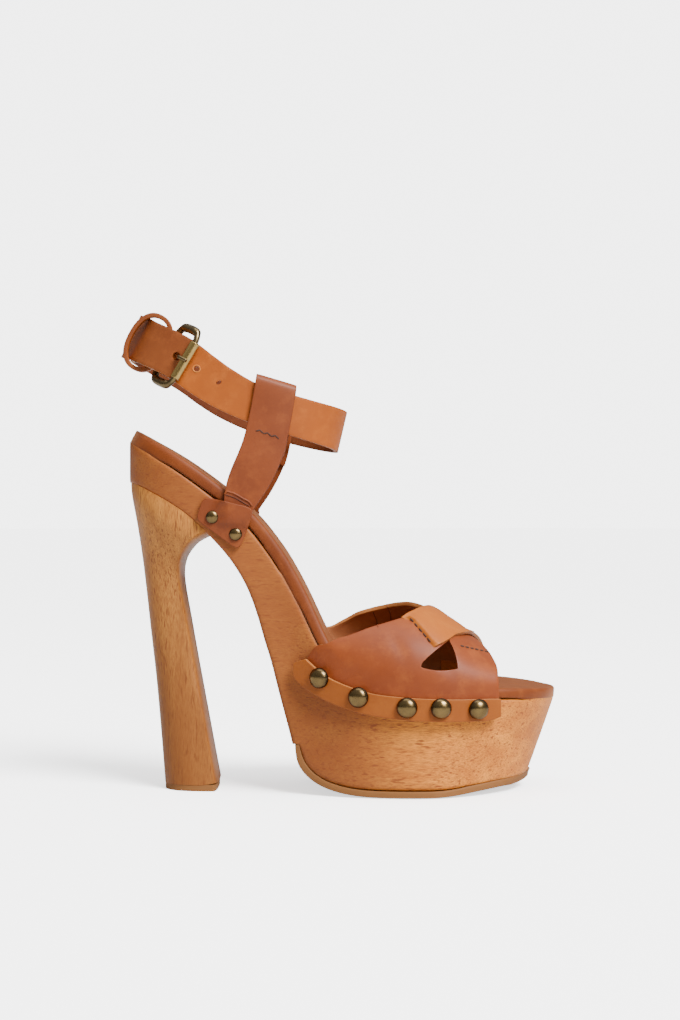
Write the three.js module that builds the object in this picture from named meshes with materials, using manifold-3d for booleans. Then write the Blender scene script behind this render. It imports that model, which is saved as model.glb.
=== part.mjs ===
// Clog sandal for the right foot: wooden platform and high heel, crossed leather vamp with studs,
// upright straps at the heel and a buckled ankle strap. Lengths in millimetres: +X points to the
// toe, -Y to the lateral side, +Z up, and the origin is on the floor under the ball of the foot.
import * as THREE from 'three'
import { mergeVertices } from 'three/addons/utils/BufferGeometryUtils.js'
import Module from 'manifold-3d'

const wasm = await Module()
wasm.setup()

// Driving sizes of the shoe
const shoeLength = 190.8
const heelBack = -123.5
const ballWidth = 82
const seatWidth = 56.4
const seatLength = 37.5
const seatRoundness = 2.6
const seatThickness = 17
const toeHeight = 40.2
const seatHeight = 154.6
const wallDraft = 0.05
const draftDepth = 40
const toeLean = 0.31
const clearance = 0.3
const curvedGap = 0.45

// Sole, heel and insole sizes
const rubberThickness = 2.4
const soleCorner = 1.1
const topPieceHeight = 2.4
const heelCorner = 0.07
const insoleHeelThickness = 5.9
const insoleToeThickness = 3.9

// Leather sizes
const vampWall = 1.8
const overlap = 1.5
const bandThickness = 2
const patchThickness = 1.8
const strapThickness = 2
const strapWidth = 19.8
const uprightThickness = 1.7

// Metal sizes
const studRadius = 4.6
const studHeight = 3
const rivetRadius = 2.8
const rivetHeight = 1.5
const headSeat = 0.45
const rivetSeat = 0.75
const buckleRod = 1.8
const rollerRadius = 2.3
const prongRadius = 0.95
const prongTip = 2.2

// Top of the wood in side view, as shares of the shoe length and of the seat's rise over the toe
const bedTable = [
  { along: 0, rise: 1 }, { along: 0.051, rise: 0.953 }, { along: 0.1, rise: 0.907 },
  { along: 0.137, rise: 0.866 }, { along: 0.168, rise: 0.829 }, { along: 0.2, rise: 0.789 },
  { along: 0.249, rise: 0.722 }, { along: 0.29, rise: 0.66 }, { along: 0.314, rise: 0.607 },
  { along: 0.339, rise: 0.553 }, { along: 0.364, rise: 0.483 }, { along: 0.388, rise: 0.41 },
  { along: 0.413, rise: 0.322 }, { along: 0.438, rise: 0.233 }, { along: 0.459, rise: 0.172 },
  { along: 0.49, rise: 0.117 }, { along: 0.532, rise: 0.082 }, { along: 0.584, rise: 0.056 },
  { along: 0.647, rise: 0.037 }, { along: 0.726, rise: 0.026 }, { along: 0.857, rise: 0.02 },
  { along: 0.936, rise: 0.012 }, { along: 1, rise: 0 },
]

// Half widths in plan as shares of half the ball width, from the seat's front to the toe
const widthTable = [
  { along: 0.196, lateral: 0.688, medial: 0.688 }, { along: 0.249, lateral: 0.668, medial: 0.649 },
  { along: 0.29, lateral: 0.659, medial: 0.624 }, { along: 0.328, lateral: 0.659, medial: 0.61 },
  { along: 0.38, lateral: 0.673, medial: 0.61 }, { along: 0.425, lateral: 0.732, medial: 0.649 },
  { along: 0.466, lateral: 0.815, medial: 0.732 }, { along: 0.521, lateral: 0.902, medial: 0.854 },
  { along: 0.569, lateral: 0.956, medial: 0.929 }, { along: 0.616, lateral: 0.988, medial: 0.98 },
  { along: 0.658, lateral: 1, medial: 1.005 }, { along: 0.7, lateral: 1, medial: 1.015 },
  { along: 0.742, lateral: 0.971, medial: 1 }, { along: 0.794, lateral: 0.898, medial: 0.961 },
  { along: 0.836, lateral: 0.82, medial: 0.922 }, { along: 0.873, lateral: 0.744, medial: 0.868 },
  { along: 0.907, lateral: 0.641, medial: 0.795 }, { along: 0.936, lateral: 0.517, medial: 0.707 },
  { along: 0.959, lateral: 0.385, medial: 0.615 }, { along: 0.979, lateral: 0.232, medial: 0.505 },
  { along: 0.992, lateral: 0.061, medial: 0.378 }, { along: 1, lateral: -0.085, medial: 0.244 },
]

// Each row joins a place on the bed to a place on the underside: shares of length and seat height
const soleTable = [
  { top: 0.002, under: 0.001, up: 0.885 }, { top: 0.026, under: 0.024, up: 0.871 },
  { top: 0.086, under: 0.086, up: 0.832 }, { top: 0.155, under: 0.149, up: 0.782 },
  { top: 0.207, under: 0.195, up: 0.728 }, { top: 0.259, under: 0.231, up: 0.679 },
  { top: 0.301, under: 0.262, up: 0.624 }, { top: 0.343, under: 0.286, up: 0.565 },
  { top: 0.38, under: 0.306, up: 0.492 }, { top: 0.411, under: 0.32, up: 0.43 },
  { top: 0.44, under: 0.334, up: 0.375 }, { top: 0.469, under: 0.349, up: 0.301 },
  { top: 0.501, under: 0.363, up: 0.236 }, { top: 0.529, under: 0.376, up: 0.176 },
  { top: 0.545, under: 0.384, up: 0.137 }, { top: 0.561, under: 0.392, up: 0.094 },
  { top: 0.577, under: 0.409, up: 0.06 }, { top: 0.592, under: 0.442, up: 0.028 },
  { top: 0.611, under: 0.49, up: 0.009 }, { top: 0.637, under: 0.548, up: 0 },
  { top: 0.689, under: 0.616, up: 0 }, { top: 0.752, under: 0.679, up: 0 },
  { top: 0.815, under: 0.731, up: 0 }, { top: 0.867, under: 0.784, up: 0.008 },
  { top: 0.909, under: 0.839, up: 0.016 }, { top: 0.946, under: 0.888, up: 0.019 },
  { top: 0.975, under: 0.923, up: 0.023 }, { top: 0.992, under: 0.938, up: 0.03 },
  { top: 1, under: 0.945, up: 0.042 },
]
const rubberStart = 14
const finePlaces = [0, 0.12, 0.35, 0.65]
const fineToePlaces = [0.4, 0.75, 1]

// Heel block from seam to floor: back and breast as shares of length and height, width of the seat
const heelTable = [
  { back: 0.004, backUp: 0.857, breast: 0.169, breastUp: 0.717, half: 0.955 },
  { back: 0.01, backUp: 0.818, breast: 0.155, breastUp: 0.706, half: 0.905 },
  { back: 0.017, backUp: 0.773, breast: 0.141, breastUp: 0.686, half: 0.815 },
  { back: 0.024, backUp: 0.721, breast: 0.130, breastUp: 0.665, half: 0.716 },
  { back: 0.031, backUp: 0.66, breast: 0.124, breastUp: 0.631, half: 0.61 },
  { back: 0.037, backUp: 0.595, breast: 0.125, breastUp: 0.589, half: 0.543 },
  { back: 0.043, backUp: 0.53, breast: 0.134, breastUp: 0.53, half: 0.507 },
  { back: 0.05, backUp: 0.444, breast: 0.147, breastUp: 0.444, half: 0.482 },
  { back: 0.061, backUp: 0.336, breast: 0.163, breastUp: 0.336, half: 0.472 },
  { back: 0.069, backUp: 0.226, breast: 0.179, breastUp: 0.226, half: 0.493 },
  { back: 0.077, backUp: 0.11, breast: 0.196, breastUp: 0.11, half: 0.532 },
  { back: 0.083, backUp: 0, breast: 0.210, breastUp: 0, half: 0.585 },
]

// Vamp edges by turn from the feather (0) to the crest (1), and its crest, as shares of length
const throatTable = [
  { turn: 0, lateral: 0.467, medial: 0.456, front: 0.849 },
  { turn: 0.21, lateral: 0.491, medial: 0.481, front: 0.848 },
  { turn: 0.29, lateral: 0.514, medial: 0.492, front: 0.848 },
  { turn: 0.36, lateral: 0.538, medial: 0.505, front: 0.847 },
  { turn: 0.43, lateral: 0.564, medial: 0.52, front: 0.845 },
  { turn: 0.515, lateral: 0.604, medial: 0.539, front: 0.841 },
  { turn: 0.607, lateral: 0.643, medial: 0.57, front: 0.836 },
  { turn: 0.7, lateral: 0.667, medial: 0.605, front: 0.83 },
  { turn: 0.82, lateral: 0.687, medial: 0.643, front: 0.82 },
  { turn: 1, lateral: 0.708, medial: 0.708, front: 0.805 },
]
const crestTable = [
  { along: 0.4, up: 0.56 }, { along: 0.47, up: 0.548 }, { along: 0.558, up: 0.546 },
  { along: 0.65, up: 0.54 }, { along: 0.708, up: 0.517 }, { along: 0.752, up: 0.481 },
  { along: 0.799, up: 0.439 }, { along: 0.83, up: 0.417 }, { along: 0.88, up: 0.384 },
]
const featherShare = 0.72
const marginRear = 0.404
const vampSquareness = 0.91
// Corners of the three-sided cut-out, with the middle of each side, in shares of length and height
const cutoutTable = [
  { along: 0.676, up: 0.373 }, { along: 0.682, up: 0.386 }, { along: 0.708, up: 0.413 },
  { along: 0.739, up: 0.438 }, { along: 0.744, up: 0.435 }, { along: 0.754, up: 0.405 },
  { along: 0.759, up: 0.371 }, { along: 0.754, up: 0.362 }, { along: 0.716, up: 0.359 },
  { along: 0.682, up: 0.366 },
]
const crossingTurn = 0.45
const crossingCorner = 0.743
const crossingFront = 0.803

// Stud band edges in side view and the studs along it
const bandTable = [
  { along: 0.395, low: 0.34, high: 0.372 }, { along: 0.405, low: 0.321, high: 0.381 },
  { along: 0.421, low: 0.306, high: 0.389 }, { along: 0.448, low: 0.286, high: 0.357 },
  { along: 0.511, low: 0.253, high: 0.318 }, { along: 0.583, low: 0.232, high: 0.293 },
  { along: 0.68, low: 0.22, high: 0.283 }, { along: 0.76, low: 0.218, high: 0.28 },
  { along: 0.83, low: 0.217, high: 0.279 }, { along: 0.849, low: 0.228, high: 0.278 },
]
const studTable = [
  { along: 0.459, up: 0.336 }, { along: 0.542, up: 0.286 }, { along: 0.645, up: 0.259 },
  { along: 0.716, up: 0.257 }, { along: 0.796, up: 0.252 },
]
const marginShort = 0.8

// Ankle strap: middle line in side view, and its loop in plan
const strapTable = [
  { along: 0, up: 1.312, wide: 0.94 }, { along: 0.06, up: 1.277, wide: 0.97 },
  { along: 0.132, up: 1.229, wide: 0.98 }, { along: 0.177, up: 1.188, wide: 0.96 },
  { along: 0.223, up: 1.15, wide: 0.92 }, { along: 0.291, up: 1.108, wide: 0.86 },
  { along: 0.404, up: 1.066, wide: 0.88 }, { along: 0.503, up: 1.037, wide: 0.93 },
]
const loopBack = 0.0265
const loopFront = 0.495
const loopHalfWidth = 27
const loopRoundness = 2.3
const medialDrop = 2.6
// The buckled end lies over the strap, from the buckle round the back to its tip
const strapEndTable = [
  { turn: 0.326, low: -1, high: 1 }, { turn: 0.4, low: -1, high: 1 }, { turn: 0.45, low: -1, high: 1.08 },
  { turn: 0.5, low: -1, high: 1.08 }, { turn: 0.535, low: -0.8, high: 0.9 },
  { turn: 0.548, low: -0.3, high: 0.4 },
]
const strapEndWedge = 0.035
const tipFlare = 2.8
const tipRise = { from: 0.45, to: 0.51 }
// Keeper: an oval loop that hangs round the strap at the back of the ankle
const keeper = { along: 0.0487, out: 14, up: 1.283, lean: 0.5, half: 9.1, halfHeight: 13.5, width: 4.2 }
const keeperThickness = 1.5
const keeperCorner = 0.87

// Buckle on the lateral side: its place round the loop and its sizes
const buckleTurn = 0.3465
const buckleLength = 13.2
const bucklePlay = 1.9
const buckleRise = 0.3
const buckleCorner = 4.2
const rollerBore = 1.5
const rollerBar = 1.1
const rearBar = 1.3
const rollerShort = 1
const slotAhead = 2.6
const slotLength = 4.6
const slotPlay = 0.85

// Upright strap: middle line in side view with its half width, and the patch that holds its end
const uprightTable = [
  { along: 0.257, up: 0.77, half: 5 }, { along: 0.264, up: 0.827, half: 7.2 },
  { along: 0.284, up: 0.884, half: 9.2 }, { along: 0.318, up: 0.97, half: 9.4 },
  { along: 0.333, up: 1.053, half: 9.1 }, { along: 0.347, up: 1.15, half: 9.1 },
  { along: 0.351, up: 1.2, half: 9 },
]
const uprightPlay = 1.9
const foldPlay = 0.25
const uprightBend = { from: 0.85, to: 0.96 }
const uprightTurn = { from: 0.97, to: 1.07 }
const uprightEnd = 5
const patchCorners = [
  { along: 0.184, up: 0.842 }, { along: 0.301, up: 0.808 }, { along: 0.264, up: 0.688 },
  { along: 0.166, up: 0.777 },
]
const patchRoundness = 7
const tongueEdge = 2.4
const rivetTable = [{ along: 0.203, up: 0.784 }, { along: 0.256, up: 0.736 }]

const sides = [
  { name: 'lateral', sign: -1, cutoutAhead: 0, cutoutRise: 0 },
  { name: 'medial', sign: 1, cutoutAhead: -0.02, cutoutRise: 0.05 },
]
const leather = { color: 0xb5622c, roughness: 0.5, metalness: 0 }
const wood = { color: 0xc98a50, roughness: 0.55, metalness: 0 }
const rubber = { color: 0xc9a27a, roughness: 0.7, metalness: 0 }
const brass = { color: 0x7c6a48, roughness: 0.35, metalness: 1 }

const xAt = (along) => heelBack + shoeLength * along
const zAt = (up) => seatHeight * up
const shareAt = (x) => (x - heelBack) / shoeLength
const mix = (a, b, part) => a + (b - a) * part
const clamp = (value, low, high) => Math.min(high, Math.max(low, value))
const smooth = (value, from, to) => {
  const reach = clamp((value - from) / (to - from), 0, 1)
  return reach * reach * (3 - 2 * reach)
}

// Smooth curve without overshoot through two columns of a table
function curveOf(rows, key, column) {
  const last = rows.length - 1
  const slope = (i) => (rows[i + 1][column] - rows[i][column]) / (rows[i + 1][key] - rows[i][key])
  const tangent = (i) => {
    if (i === 0 || i === last) return slope(i === 0 ? 0 : last - 1)
    const product = slope(i - 1) * slope(i)
    return product <= 0 ? 0 : (2 * product) / (slope(i - 1) + slope(i))
  }
  const tangents = rows.map((row, i) => tangent(i))
  return (value) => {
    const held = clamp(value, rows[0][key], rows[last][key])
    let i = 0
    while (i < last - 1 && held > rows[i + 1][key]) i += 1
    const step = rows[i + 1][key] - rows[i][key]
    const t = (held - rows[i][key]) / step
    const rise = rows[i + 1][column] - rows[i][column]
    const bend = (tangents[i] + tangents[i + 1]) * step - 2 * rise
    const start = tangents[i] * step
    return rows[i][column] + t * (start + t * (3 * rise - 2 * start - tangents[i + 1] * step + t * bend))
  }
}

const bedRise = curveOf(bedTable, 'along', 'rise')
const bedHeight = (x) => toeHeight + (seatHeight - toeHeight) * bedRise(shareAt(x))
const planCurves = {
  lateral: curveOf(widthTable, 'along', 'lateral'),
  medial: curveOf(widthTable, 'along', 'medial'),
}

// Half width of the last in plan, with a rounded seat
function planHalf(side, x) {
  const seatFront = heelBack + seatLength
  if (x < seatFront) {
    const reach = clamp((seatFront - x) / seatLength, 0, 0.9996)
    return (seatWidth / 2) * (1 - reach ** seatRoundness) ** (1 / seatRoundness)
  }
  const along = shareAt(x)
  const seatShare = seatWidth / (ballWidth * widthTable[0][side.name])
  const blend = mix(seatShare, 1, smooth(along, widthTable[0].along, 0.5))
  return (ballWidth / 2) * planCurves[side.name](along) * blend
}

// Distance of the shoe's side wall from the middle plane
function wallHalf(side, x, z) {
  const depth = clamp(bedHeight(x) - z, 0, draftDepth)
  const lean = toeLean * Math.max(0, toeHeight - z) * smooth(x, 0, 45)
  return planHalf(side, x + lean) - wallDraft * depth
}

// A point at a distance outside the side wall, measured square to it in plan
function onWall(side, x, z, out) {
  const step = 0.5
  const turn = (wallHalf(side, x + step, z) - wallHalf(side, x - step, z)) / (2 * step)
  const size = Math.hypot(1, turn)
  const y = wallHalf(side, x, z) + out / size
  return new THREE.Vector3(x - (turn * out) / size, side.sign * y, z)
}

function closed(positions, faces) {
  const geometry = new THREE.BufferGeometry()
  geometry.setAttribute('position', new THREE.Float32BufferAttribute(positions.flatMap((p) => p.toArray()), 3))
  geometry.setIndex(faces.flat())
  return outward(geometry)
}

// Turns the faces round where a solid is inside out
function outward(geometry) {
  const p = geometry.attributes.position
  const index = geometry.index.array
  const corner = (i) => new THREE.Vector3().fromBufferAttribute(p, index[i])
  let volume = 0
  for (let i = 0; i < index.length; i += 3) {
    volume += corner(i).dot(corner(i + 1).cross(corner(i + 2)))
  }
  if (volume < 0) {
    for (let i = 0; i < index.length; i += 3) [index[i], index[i + 1]] = [index[i + 1], index[i]]
  }
  return geometry
}

// Solid through rings of equal count; each end is closed by strips across the ring
function loft(rings) {
  const count = rings[0].length
  const faces = []
  for (let r = 0; r < rings.length - 1; r += 1) {
    for (let i = 0; i < count; i += 1) {
      const a = r * count + i
      const b = r * count + ((i + 1) % count)
      faces.push([a, b, b + count], [a, b + count, a + count])
    }
  }
  const endCap = (base, flip) => {
    for (let i = 0; i < Math.floor(count / 2); i += 1) {
      const [a, b, c, d] = [i, i + 1, count - 2 - i, count - 1 - i].map((k) => base + k)
      const pair = b < c ? [[a, c, b], [a, d, c]] : [[a, d, b]]
      pair.forEach((face) => faces.push(flip ? [face[0], face[2], face[1]] : face))
    }
  }
  endCap(0, false)
  endCap((rings.length - 1) * count, true)
  return closed(rings.flat(), faces)
}

// Sheet with an inner and an outer grid and a rim all round
function sheet(columns, rows, at) {
  const positions = []
  for (const layer of [0, 1]) {
    for (let i = 0; i <= columns; i += 1) {
      for (let j = 0; j <= rows; j += 1) positions.push(at(i / columns, j / rows, layer))
    }
  }
  const offset = positions.length / 2
  const id = (i, j) => i * (rows + 1) + j
  const faces = []
  const quad = (a, b, c, d) => faces.push([a, b, c], [a, c, d])
  for (let i = 0; i < columns; i += 1) {
    for (let j = 0; j < rows; j += 1) {
      const ring = [id(i, j), id(i, j + 1), id(i + 1, j + 1), id(i + 1, j)]
      quad(...ring)
      quad(...ring.reverse().map((k) => k + offset))
    }
    quad(id(i, 0), id(i + 1, 0), id(i + 1, 0) + offset, id(i, 0) + offset)
    quad(id(i + 1, rows), id(i, rows), id(i, rows) + offset, id(i + 1, rows) + offset)
  }
  for (let j = 0; j < rows; j += 1) {
    quad(id(0, j + 1), id(0, j), id(0, j) + offset, id(0, j + 1) + offset)
    quad(id(columns, j), id(columns, j + 1), id(columns, j + 1) + offset, id(columns, j) + offset)
  }
  return closed(positions, faces)
}

function toManifold(geometry) {
  const bare = geometry.clone()
  bare.deleteAttribute('normal')
  bare.deleteAttribute('uv')
  const merged = mergeVertices(bare, 1e-4)
  return new wasm.Manifold(new wasm.Mesh({
    numProp: 3,
    vertProperties: new Float32Array(merged.attributes.position.array),
    triVerts: new Uint32Array(merged.index.array),
  }))
}

function fromManifold(solid) {
  const mesh = solid.getMesh()
  const geometry = new THREE.BufferGeometry()
  geometry.setAttribute('position', new THREE.BufferAttribute(mesh.vertProperties, 3))
  geometry.setIndex(new THREE.BufferAttribute(mesh.triVerts, 1))
  return geometry
}

const part = new THREE.Group()
function addPiece(name, geometry, look) {
  const shaded = geometry.clone()
  shaded.computeVertexNormals()
  const mesh = new THREE.Mesh(shaded, new THREE.MeshStandardMaterial(look))
  mesh.name = name
  part.add(mesh)
}

// Places along the sole: every table row, one between rows up to the rubber, closer ones at the ends
const lastRow = soleTable.length - 1
const solePlaces = []
for (let row = 0; row <= lastRow; row += 1) {
  if (row === 0) solePlaces.push(...finePlaces)
  else if (row === lastRow) solePlaces.push(...fineToePlaces.map((share) => lastRow - 1 + share))
  else solePlaces.push(row, ...(row < rubberStart ? [row + 0.5] : []))
}
const soleRows = soleTable.map((row, place) => ({ ...row, place }))
const topOf = curveOf(soleRows, 'place', 'top')
const underOf = curveOf(soleRows, 'place', 'under')
const upOf = curveOf(soleRows, 'place', 'up')

const bedPoint = (place) => new THREE.Vector2(xAt(topOf(place)), bedHeight(xAt(topOf(place))))
const underPoint = (place) => new THREE.Vector2(xAt(underOf(place)), Math.max(0, zAt(upOf(place))))

// Point on the underside, moved inward square to it
function insetUnder(place, depth) {
  const ahead = underPoint(Math.min(lastRow, place + 0.05))
  const behind = underPoint(Math.max(0, place - 0.05))
  const run = ahead.sub(behind).normalize()
  return underPoint(place).add(new THREE.Vector2(-run.y, run.x).multiplyScalar(depth))
}

// Ring round the sole between a top and an under point, with small corners
function soleRing(top, under, corner) {
  const small = clamp(corner / top.distanceTo(under), 0.002, 0.3)
  const at = (side, down, inset) => {
    const x = mix(top.x, under.x, down)
    const z = mix(top.y, under.y, down)
    return new THREE.Vector3(x, side.sign * (wallHalf(side, x, z) - inset), z)
  }
  const rim = (side) => [
    at(side, 0, corner), at(side, small, 0), at(side, 0.25, 0), at(side, 0.5, 0), at(side, 0.75, 0),
    at(side, 1 - small, 0), at(side, 1, corner),
  ]
  return [...rim(sides[0]), ...rim(sides[1]).reverse()]
}

// Wooden sole, stepped back at the underside where the rubber outsole starts
const woodRings = []
for (const place of solePlaces) {
  if (place === rubberStart) woodRings.push(soleRing(bedPoint(place), insetUnder(place - 0.08, 0), soleCorner))
  const depth = place >= rubberStart ? rubberThickness + clearance : 0
  woodRings.push(soleRing(bedPoint(place), insetUnder(place, depth), soleCorner))
}
addPiece('sole', loft(woodRings), wood)

// Rubber outsole: wraps the back of the platform and runs under the ball to the toe
const rubberRings = solePlaces.filter((place) => place >= rubberStart).map((place) => {
  const outer = insetUnder(place === rubberStart ? place + 0.06 : place, 0)
  const inner = insetUnder(place === rubberStart ? place + 0.06 : place, rubberThickness)
  return soleRing(inner, outer, 0.4)
})
addPiece('outsole', loft(rubberRings), rubber)

// Insole: a covered board along the bed, square to it
const insoleRings = solePlaces.map((place) => {
  const foot = bedPoint(place)
  const step = 0.4
  const run = new THREE.Vector2(2 * step, bedHeight(foot.x + step) - bedHeight(foot.x - step)).normalize()
  const normal = new THREE.Vector2(-run.y, run.x)
  const thickness = mix(insoleHeelThickness, insoleToeThickness, place / lastRow)
  const at = (side, up, inset) => {
    const point = foot.clone().addScaledVector(normal, clearance + up)
    return new THREE.Vector3(point.x, side.sign * (planHalf(side, foot.x) - inset), point.y)
  }
  const rim = (side) => [
    at(side, 0, 0.6), at(side, 0.6, 0.1), at(side, 0.55 * thickness, 0), at(side, 0.85 * thickness, 0.4),
    at(side, thickness, 1.4), at(side, thickness, 6),
  ]
  return [...rim(sides[0]), ...rim(sides[1]).reverse()]
})
addPiece('insole', loft(insoleRings), { ...leather, color: 0xb8703a })

// D-shaped ring with a flat breast, from a back point to a breast point
function heelRing(half, placeAt) {
  const turns = 11
  const quarter = []
  for (let i = 0; i <= turns; i += 1) {
    const turn = (i / turns) * (Math.PI / 2)
    const back = Math.sin(turn) ** (2 / seatRoundness)
    quarter.push([mix(heelCorner, 0.999, back), half * Math.cos(turn) ** (2 / seatRoundness)])
  }
  quarter[turns][1] = half * 0.08
  const side = [[0, half * 0.84], ...quarter]
  const ring = (sign) => side.map(([share, y]) => placeAt(share, sign * y))
  return [...ring(-1), ...ring(1).reverse()]
}

// Underside of the seat as a height by x, which the heel's top follows
const seatRows = soleRows.slice(0, 5).map((row) => ({ x: xAt(row.under), z: zAt(row.up) }))
const seamHeight = curveOf(seatRows, 'x', 'z')
const seamFront = seatRows[4].x
const seamHalf = seatWidth / 2 - wallDraft * seatThickness
const heelRings = [heelRing(seamHalf - 0.3, (share, y) => {
  const x = mix(seamFront, heelBack + 0.3, share)
  return new THREE.Vector3(x, y, seamHeight(x) - clearance)
})]
for (const row of heelTable) {
  const back = new THREE.Vector2(xAt(row.back), Math.max(zAt(row.backUp), topPieceHeight + clearance))
  const breast = new THREE.Vector2(xAt(row.breast), Math.max(zAt(row.breastUp), topPieceHeight + clearance))
  heelRings.push(heelRing((row.half * seatWidth) / 2, (share, y) => {
    const point = breast.clone().lerp(back, share)
    return new THREE.Vector3(point.x, y, point.y)
  }))
}
addPiece('heel', loft(heelRings), wood)

// Rubber top piece under the heel
const heelFoot = heelTable[heelTable.length - 1]
const topPieceRing = (z) => heelRing((heelFoot.half * seatWidth) / 2 - 0.1, (share, y) => (
  new THREE.Vector3(mix(xAt(heelFoot.breast) - 0.1, xAt(heelFoot.back) + 0.1, share), y, z)
))
addPiece('heel_top_piece', loft([topPieceRing(0), topPieceRing(topPieceHeight)]), rubber)

// Upper surface of the insole as a height by x over the ball and toes
const insoleTop = (x) => {
  const slope = (bedHeight(x + 1) - bedHeight(x - 1)) / 2
  const thickness = mix(insoleHeelThickness, insoleToeThickness, shareAt(x))
  return bedHeight(x) + (thickness + 2 * clearance) * Math.hypot(1, slope)
}
const crestOf = curveOf(crestTable, 'along', 'up')
const rearOf = {
  lateral: curveOf(throatTable, 'turn', 'lateral'),
  medial: curveOf(throatTable, 'turn', 'medial'),
}
const frontOf = curveOf(throatTable, 'turn', 'front')
const bandLow = curveOf(bandTable, 'along', 'low')
const bandHigh = curveOf(bandTable, 'along', 'high')

const sideOf = (across) => (across < 0 ? sides[0] : sides[1])

// Point of the vamp at a place across it, -1 at the lateral margin and 1 at the medial one
function vampPoint(across, x, out) {
  const side = sideOf(across)
  const feather = insoleTop(x)
  const margin = 1 - featherShare
  const span = Math.abs(across)
  if (span > featherShare) {
    const low = zAt(bandLow(shareAt(x))) + marginShort
    return onWall(side, x, mix(feather, low, (span - featherShare) / margin), curvedGap + out)
  }
  const angle = (1 - span / featherShare) * (Math.PI / 2)
  const base = onWall(side, x, feather, curvedGap + out)
  const rise = zAt(crestOf(shareAt(x))) - vampWall - feather + out
  const inward = Math.max(0, Math.cos(angle)) ** vampSquareness
  return new THREE.Vector3(base.x, base.y * inward, feather + rise * Math.sin(angle) ** vampSquareness)
}

// How far round from the feather to the crest a place across the vamp lies
const turnAt = (across) => clamp(1 - Math.abs(across) / featherShare, 0, 1)
function rearEdge(across) {
  const margin = clamp((Math.abs(across) - featherShare) / (1 - featherShare), 0, 1)
  return xAt(mix(rearOf[sideOf(across).name](turnAt(across)), marginRear, margin))
}
const frontEdge = (across) => xAt(frontOf(turnAt(across)))

const vampBase = sheet(34, 8, (u, v, layer) => {
  const across = mix(-1, 1, u)
  return vampPoint(across, mix(rearEdge(across), frontEdge(across), v), layer * vampWall)
})

// The strap that passes over at the crossing, raised by its own thickness
const crossingPlace = featherShare * (1 - crossingTurn)
const strapEdge = (across, middle) => (
  mix(middle, crossingCorner, clamp(Math.abs(across) / crossingPlace, 0, 1))
)
const overStrap = sheet(22, 4, (u, v, layer) => {
  const across = mix(-0.9 * featherShare, 0.9 * featherShare, u)
  const past = Math.max(0, Math.abs(across) - crossingPlace)
  const low = across < 0 ? rearEdge(across) : xAt(strapEdge(across, rearOf.medial(1))) + 0.3 * past
  const high = across < 0 ? xAt(strapEdge(across, crossingFront)) : frontEdge(across)
  const fade = smooth(turnAt(across), 0.12, crossingTurn)
  const out = layer === 0 ? vampWall / 2 : mix(vampWall - 0.1, vampWall + overlap, fade)
  return vampPoint(across, mix(Math.max(low, rearEdge(across)), high, v), out)
})

// The cut-outs are prisms through each side of the vamp
function cutoutCutter(side) {
  const outline = cutoutTable.map((row) => [xAt(row.along + side.cutoutAhead), zAt(row.up + side.cutoutRise)])
  const ring = (y) => outline.map(([x, z]) => new THREE.Vector3(x, side.sign * y, z))
  return loft([ring(10), ring(ballWidth)])
}
let vamp = toManifold(vampBase).add(toManifold(overStrap))
for (const side of sides) vamp = vamp.subtract(toManifold(cutoutCutter(side)))
addPiece('vamp', fromManifold(vamp), leather)

// Stud bands over the vamp's margin, with their studs
const bandInner = 2 * curvedGap + vampWall
function dome(radius, height) {
  const rings = 3
  const profile = [new THREE.Vector2(0, 0), new THREE.Vector2(radius, 0)]
  for (let i = 0; i <= rings; i += 1) {
    const turn = (i / rings) * (Math.PI / 2)
    profile.push(new THREE.Vector2(radius * Math.cos(turn), height * (0.2 + 0.8 * Math.sin(turn))))
  }
  profile[profile.length - 1].x = 0
  return mergeVertices(new THREE.LatheGeometry(profile, 11).deleteAttribute('uv').deleteAttribute('normal'))
}

// Stands a round head on the wall at a distance out
function seated(side, x, z, out, geometry) {
  const foot = onWall(side, x, z, out)
  const along = onWall(side, x + 2, z, out).sub(onWall(side, x - 2, z, out))
  const upward = onWall(side, x, z + 2, out).sub(onWall(side, x, z - 2, out))
  const normal = along.cross(upward).normalize().multiplyScalar(-side.sign)
  const turn = new THREE.Quaternion().setFromUnitVectors(new THREE.Vector3(0, 1, 0), normal)
  return outward(geometry.applyQuaternion(turn).translate(foot.x, foot.y, foot.z))
}

for (const side of sides) {
  const first = bandTable[0].along
  const last = bandTable[bandTable.length - 1].along
  addPiece('stud_band_' + side.name, sheet(20, 2, (u, v, layer) => {
    const along = mix(first, last, u < 0.15 ? u * u / 0.15 : u)
    const z = zAt(mix(bandLow(along), bandHigh(along), v))
    return onWall(side, xAt(along), z, bandInner + layer * bandThickness)
  }), { ...leather, color: 0xc98338 })
  studTable.forEach((stud, i) => {
    const out = bandInner + bandThickness + headSeat
    const head = dome(studRadius, studHeight)
    addPiece('stud_' + side.name + '_' + (i + 1), seated(side, xAt(stud.along), zAt(stud.up), out, head), brass)
  })
}

// Middle line of the ankle strap: once round the loop, from the front along the lateral side
const strapHeight = curveOf(strapTable, 'along', 'up')
const strapFall = (x) => (zAt(strapHeight(shareAt(x - 1))) - zAt(strapHeight(shareAt(x + 1)))) / 2
function strapMiddle(turn) {
  const angle = turn * 2 * Math.PI
  const power = 2 / loopRoundness
  const reach = Math.sign(Math.cos(angle)) * Math.abs(Math.cos(angle)) ** power
  const side = Math.sign(Math.sin(angle)) * Math.abs(Math.sin(angle)) ** power
  const along = mix(loopBack, loopFront, (1 + reach) / 2)
  const drop = (medialDrop * (1 - side)) / 2
  return new THREE.Vector3(xAt(along), -loopHalfWidth * side, zAt(strapHeight(along)) - drop)
}

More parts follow.
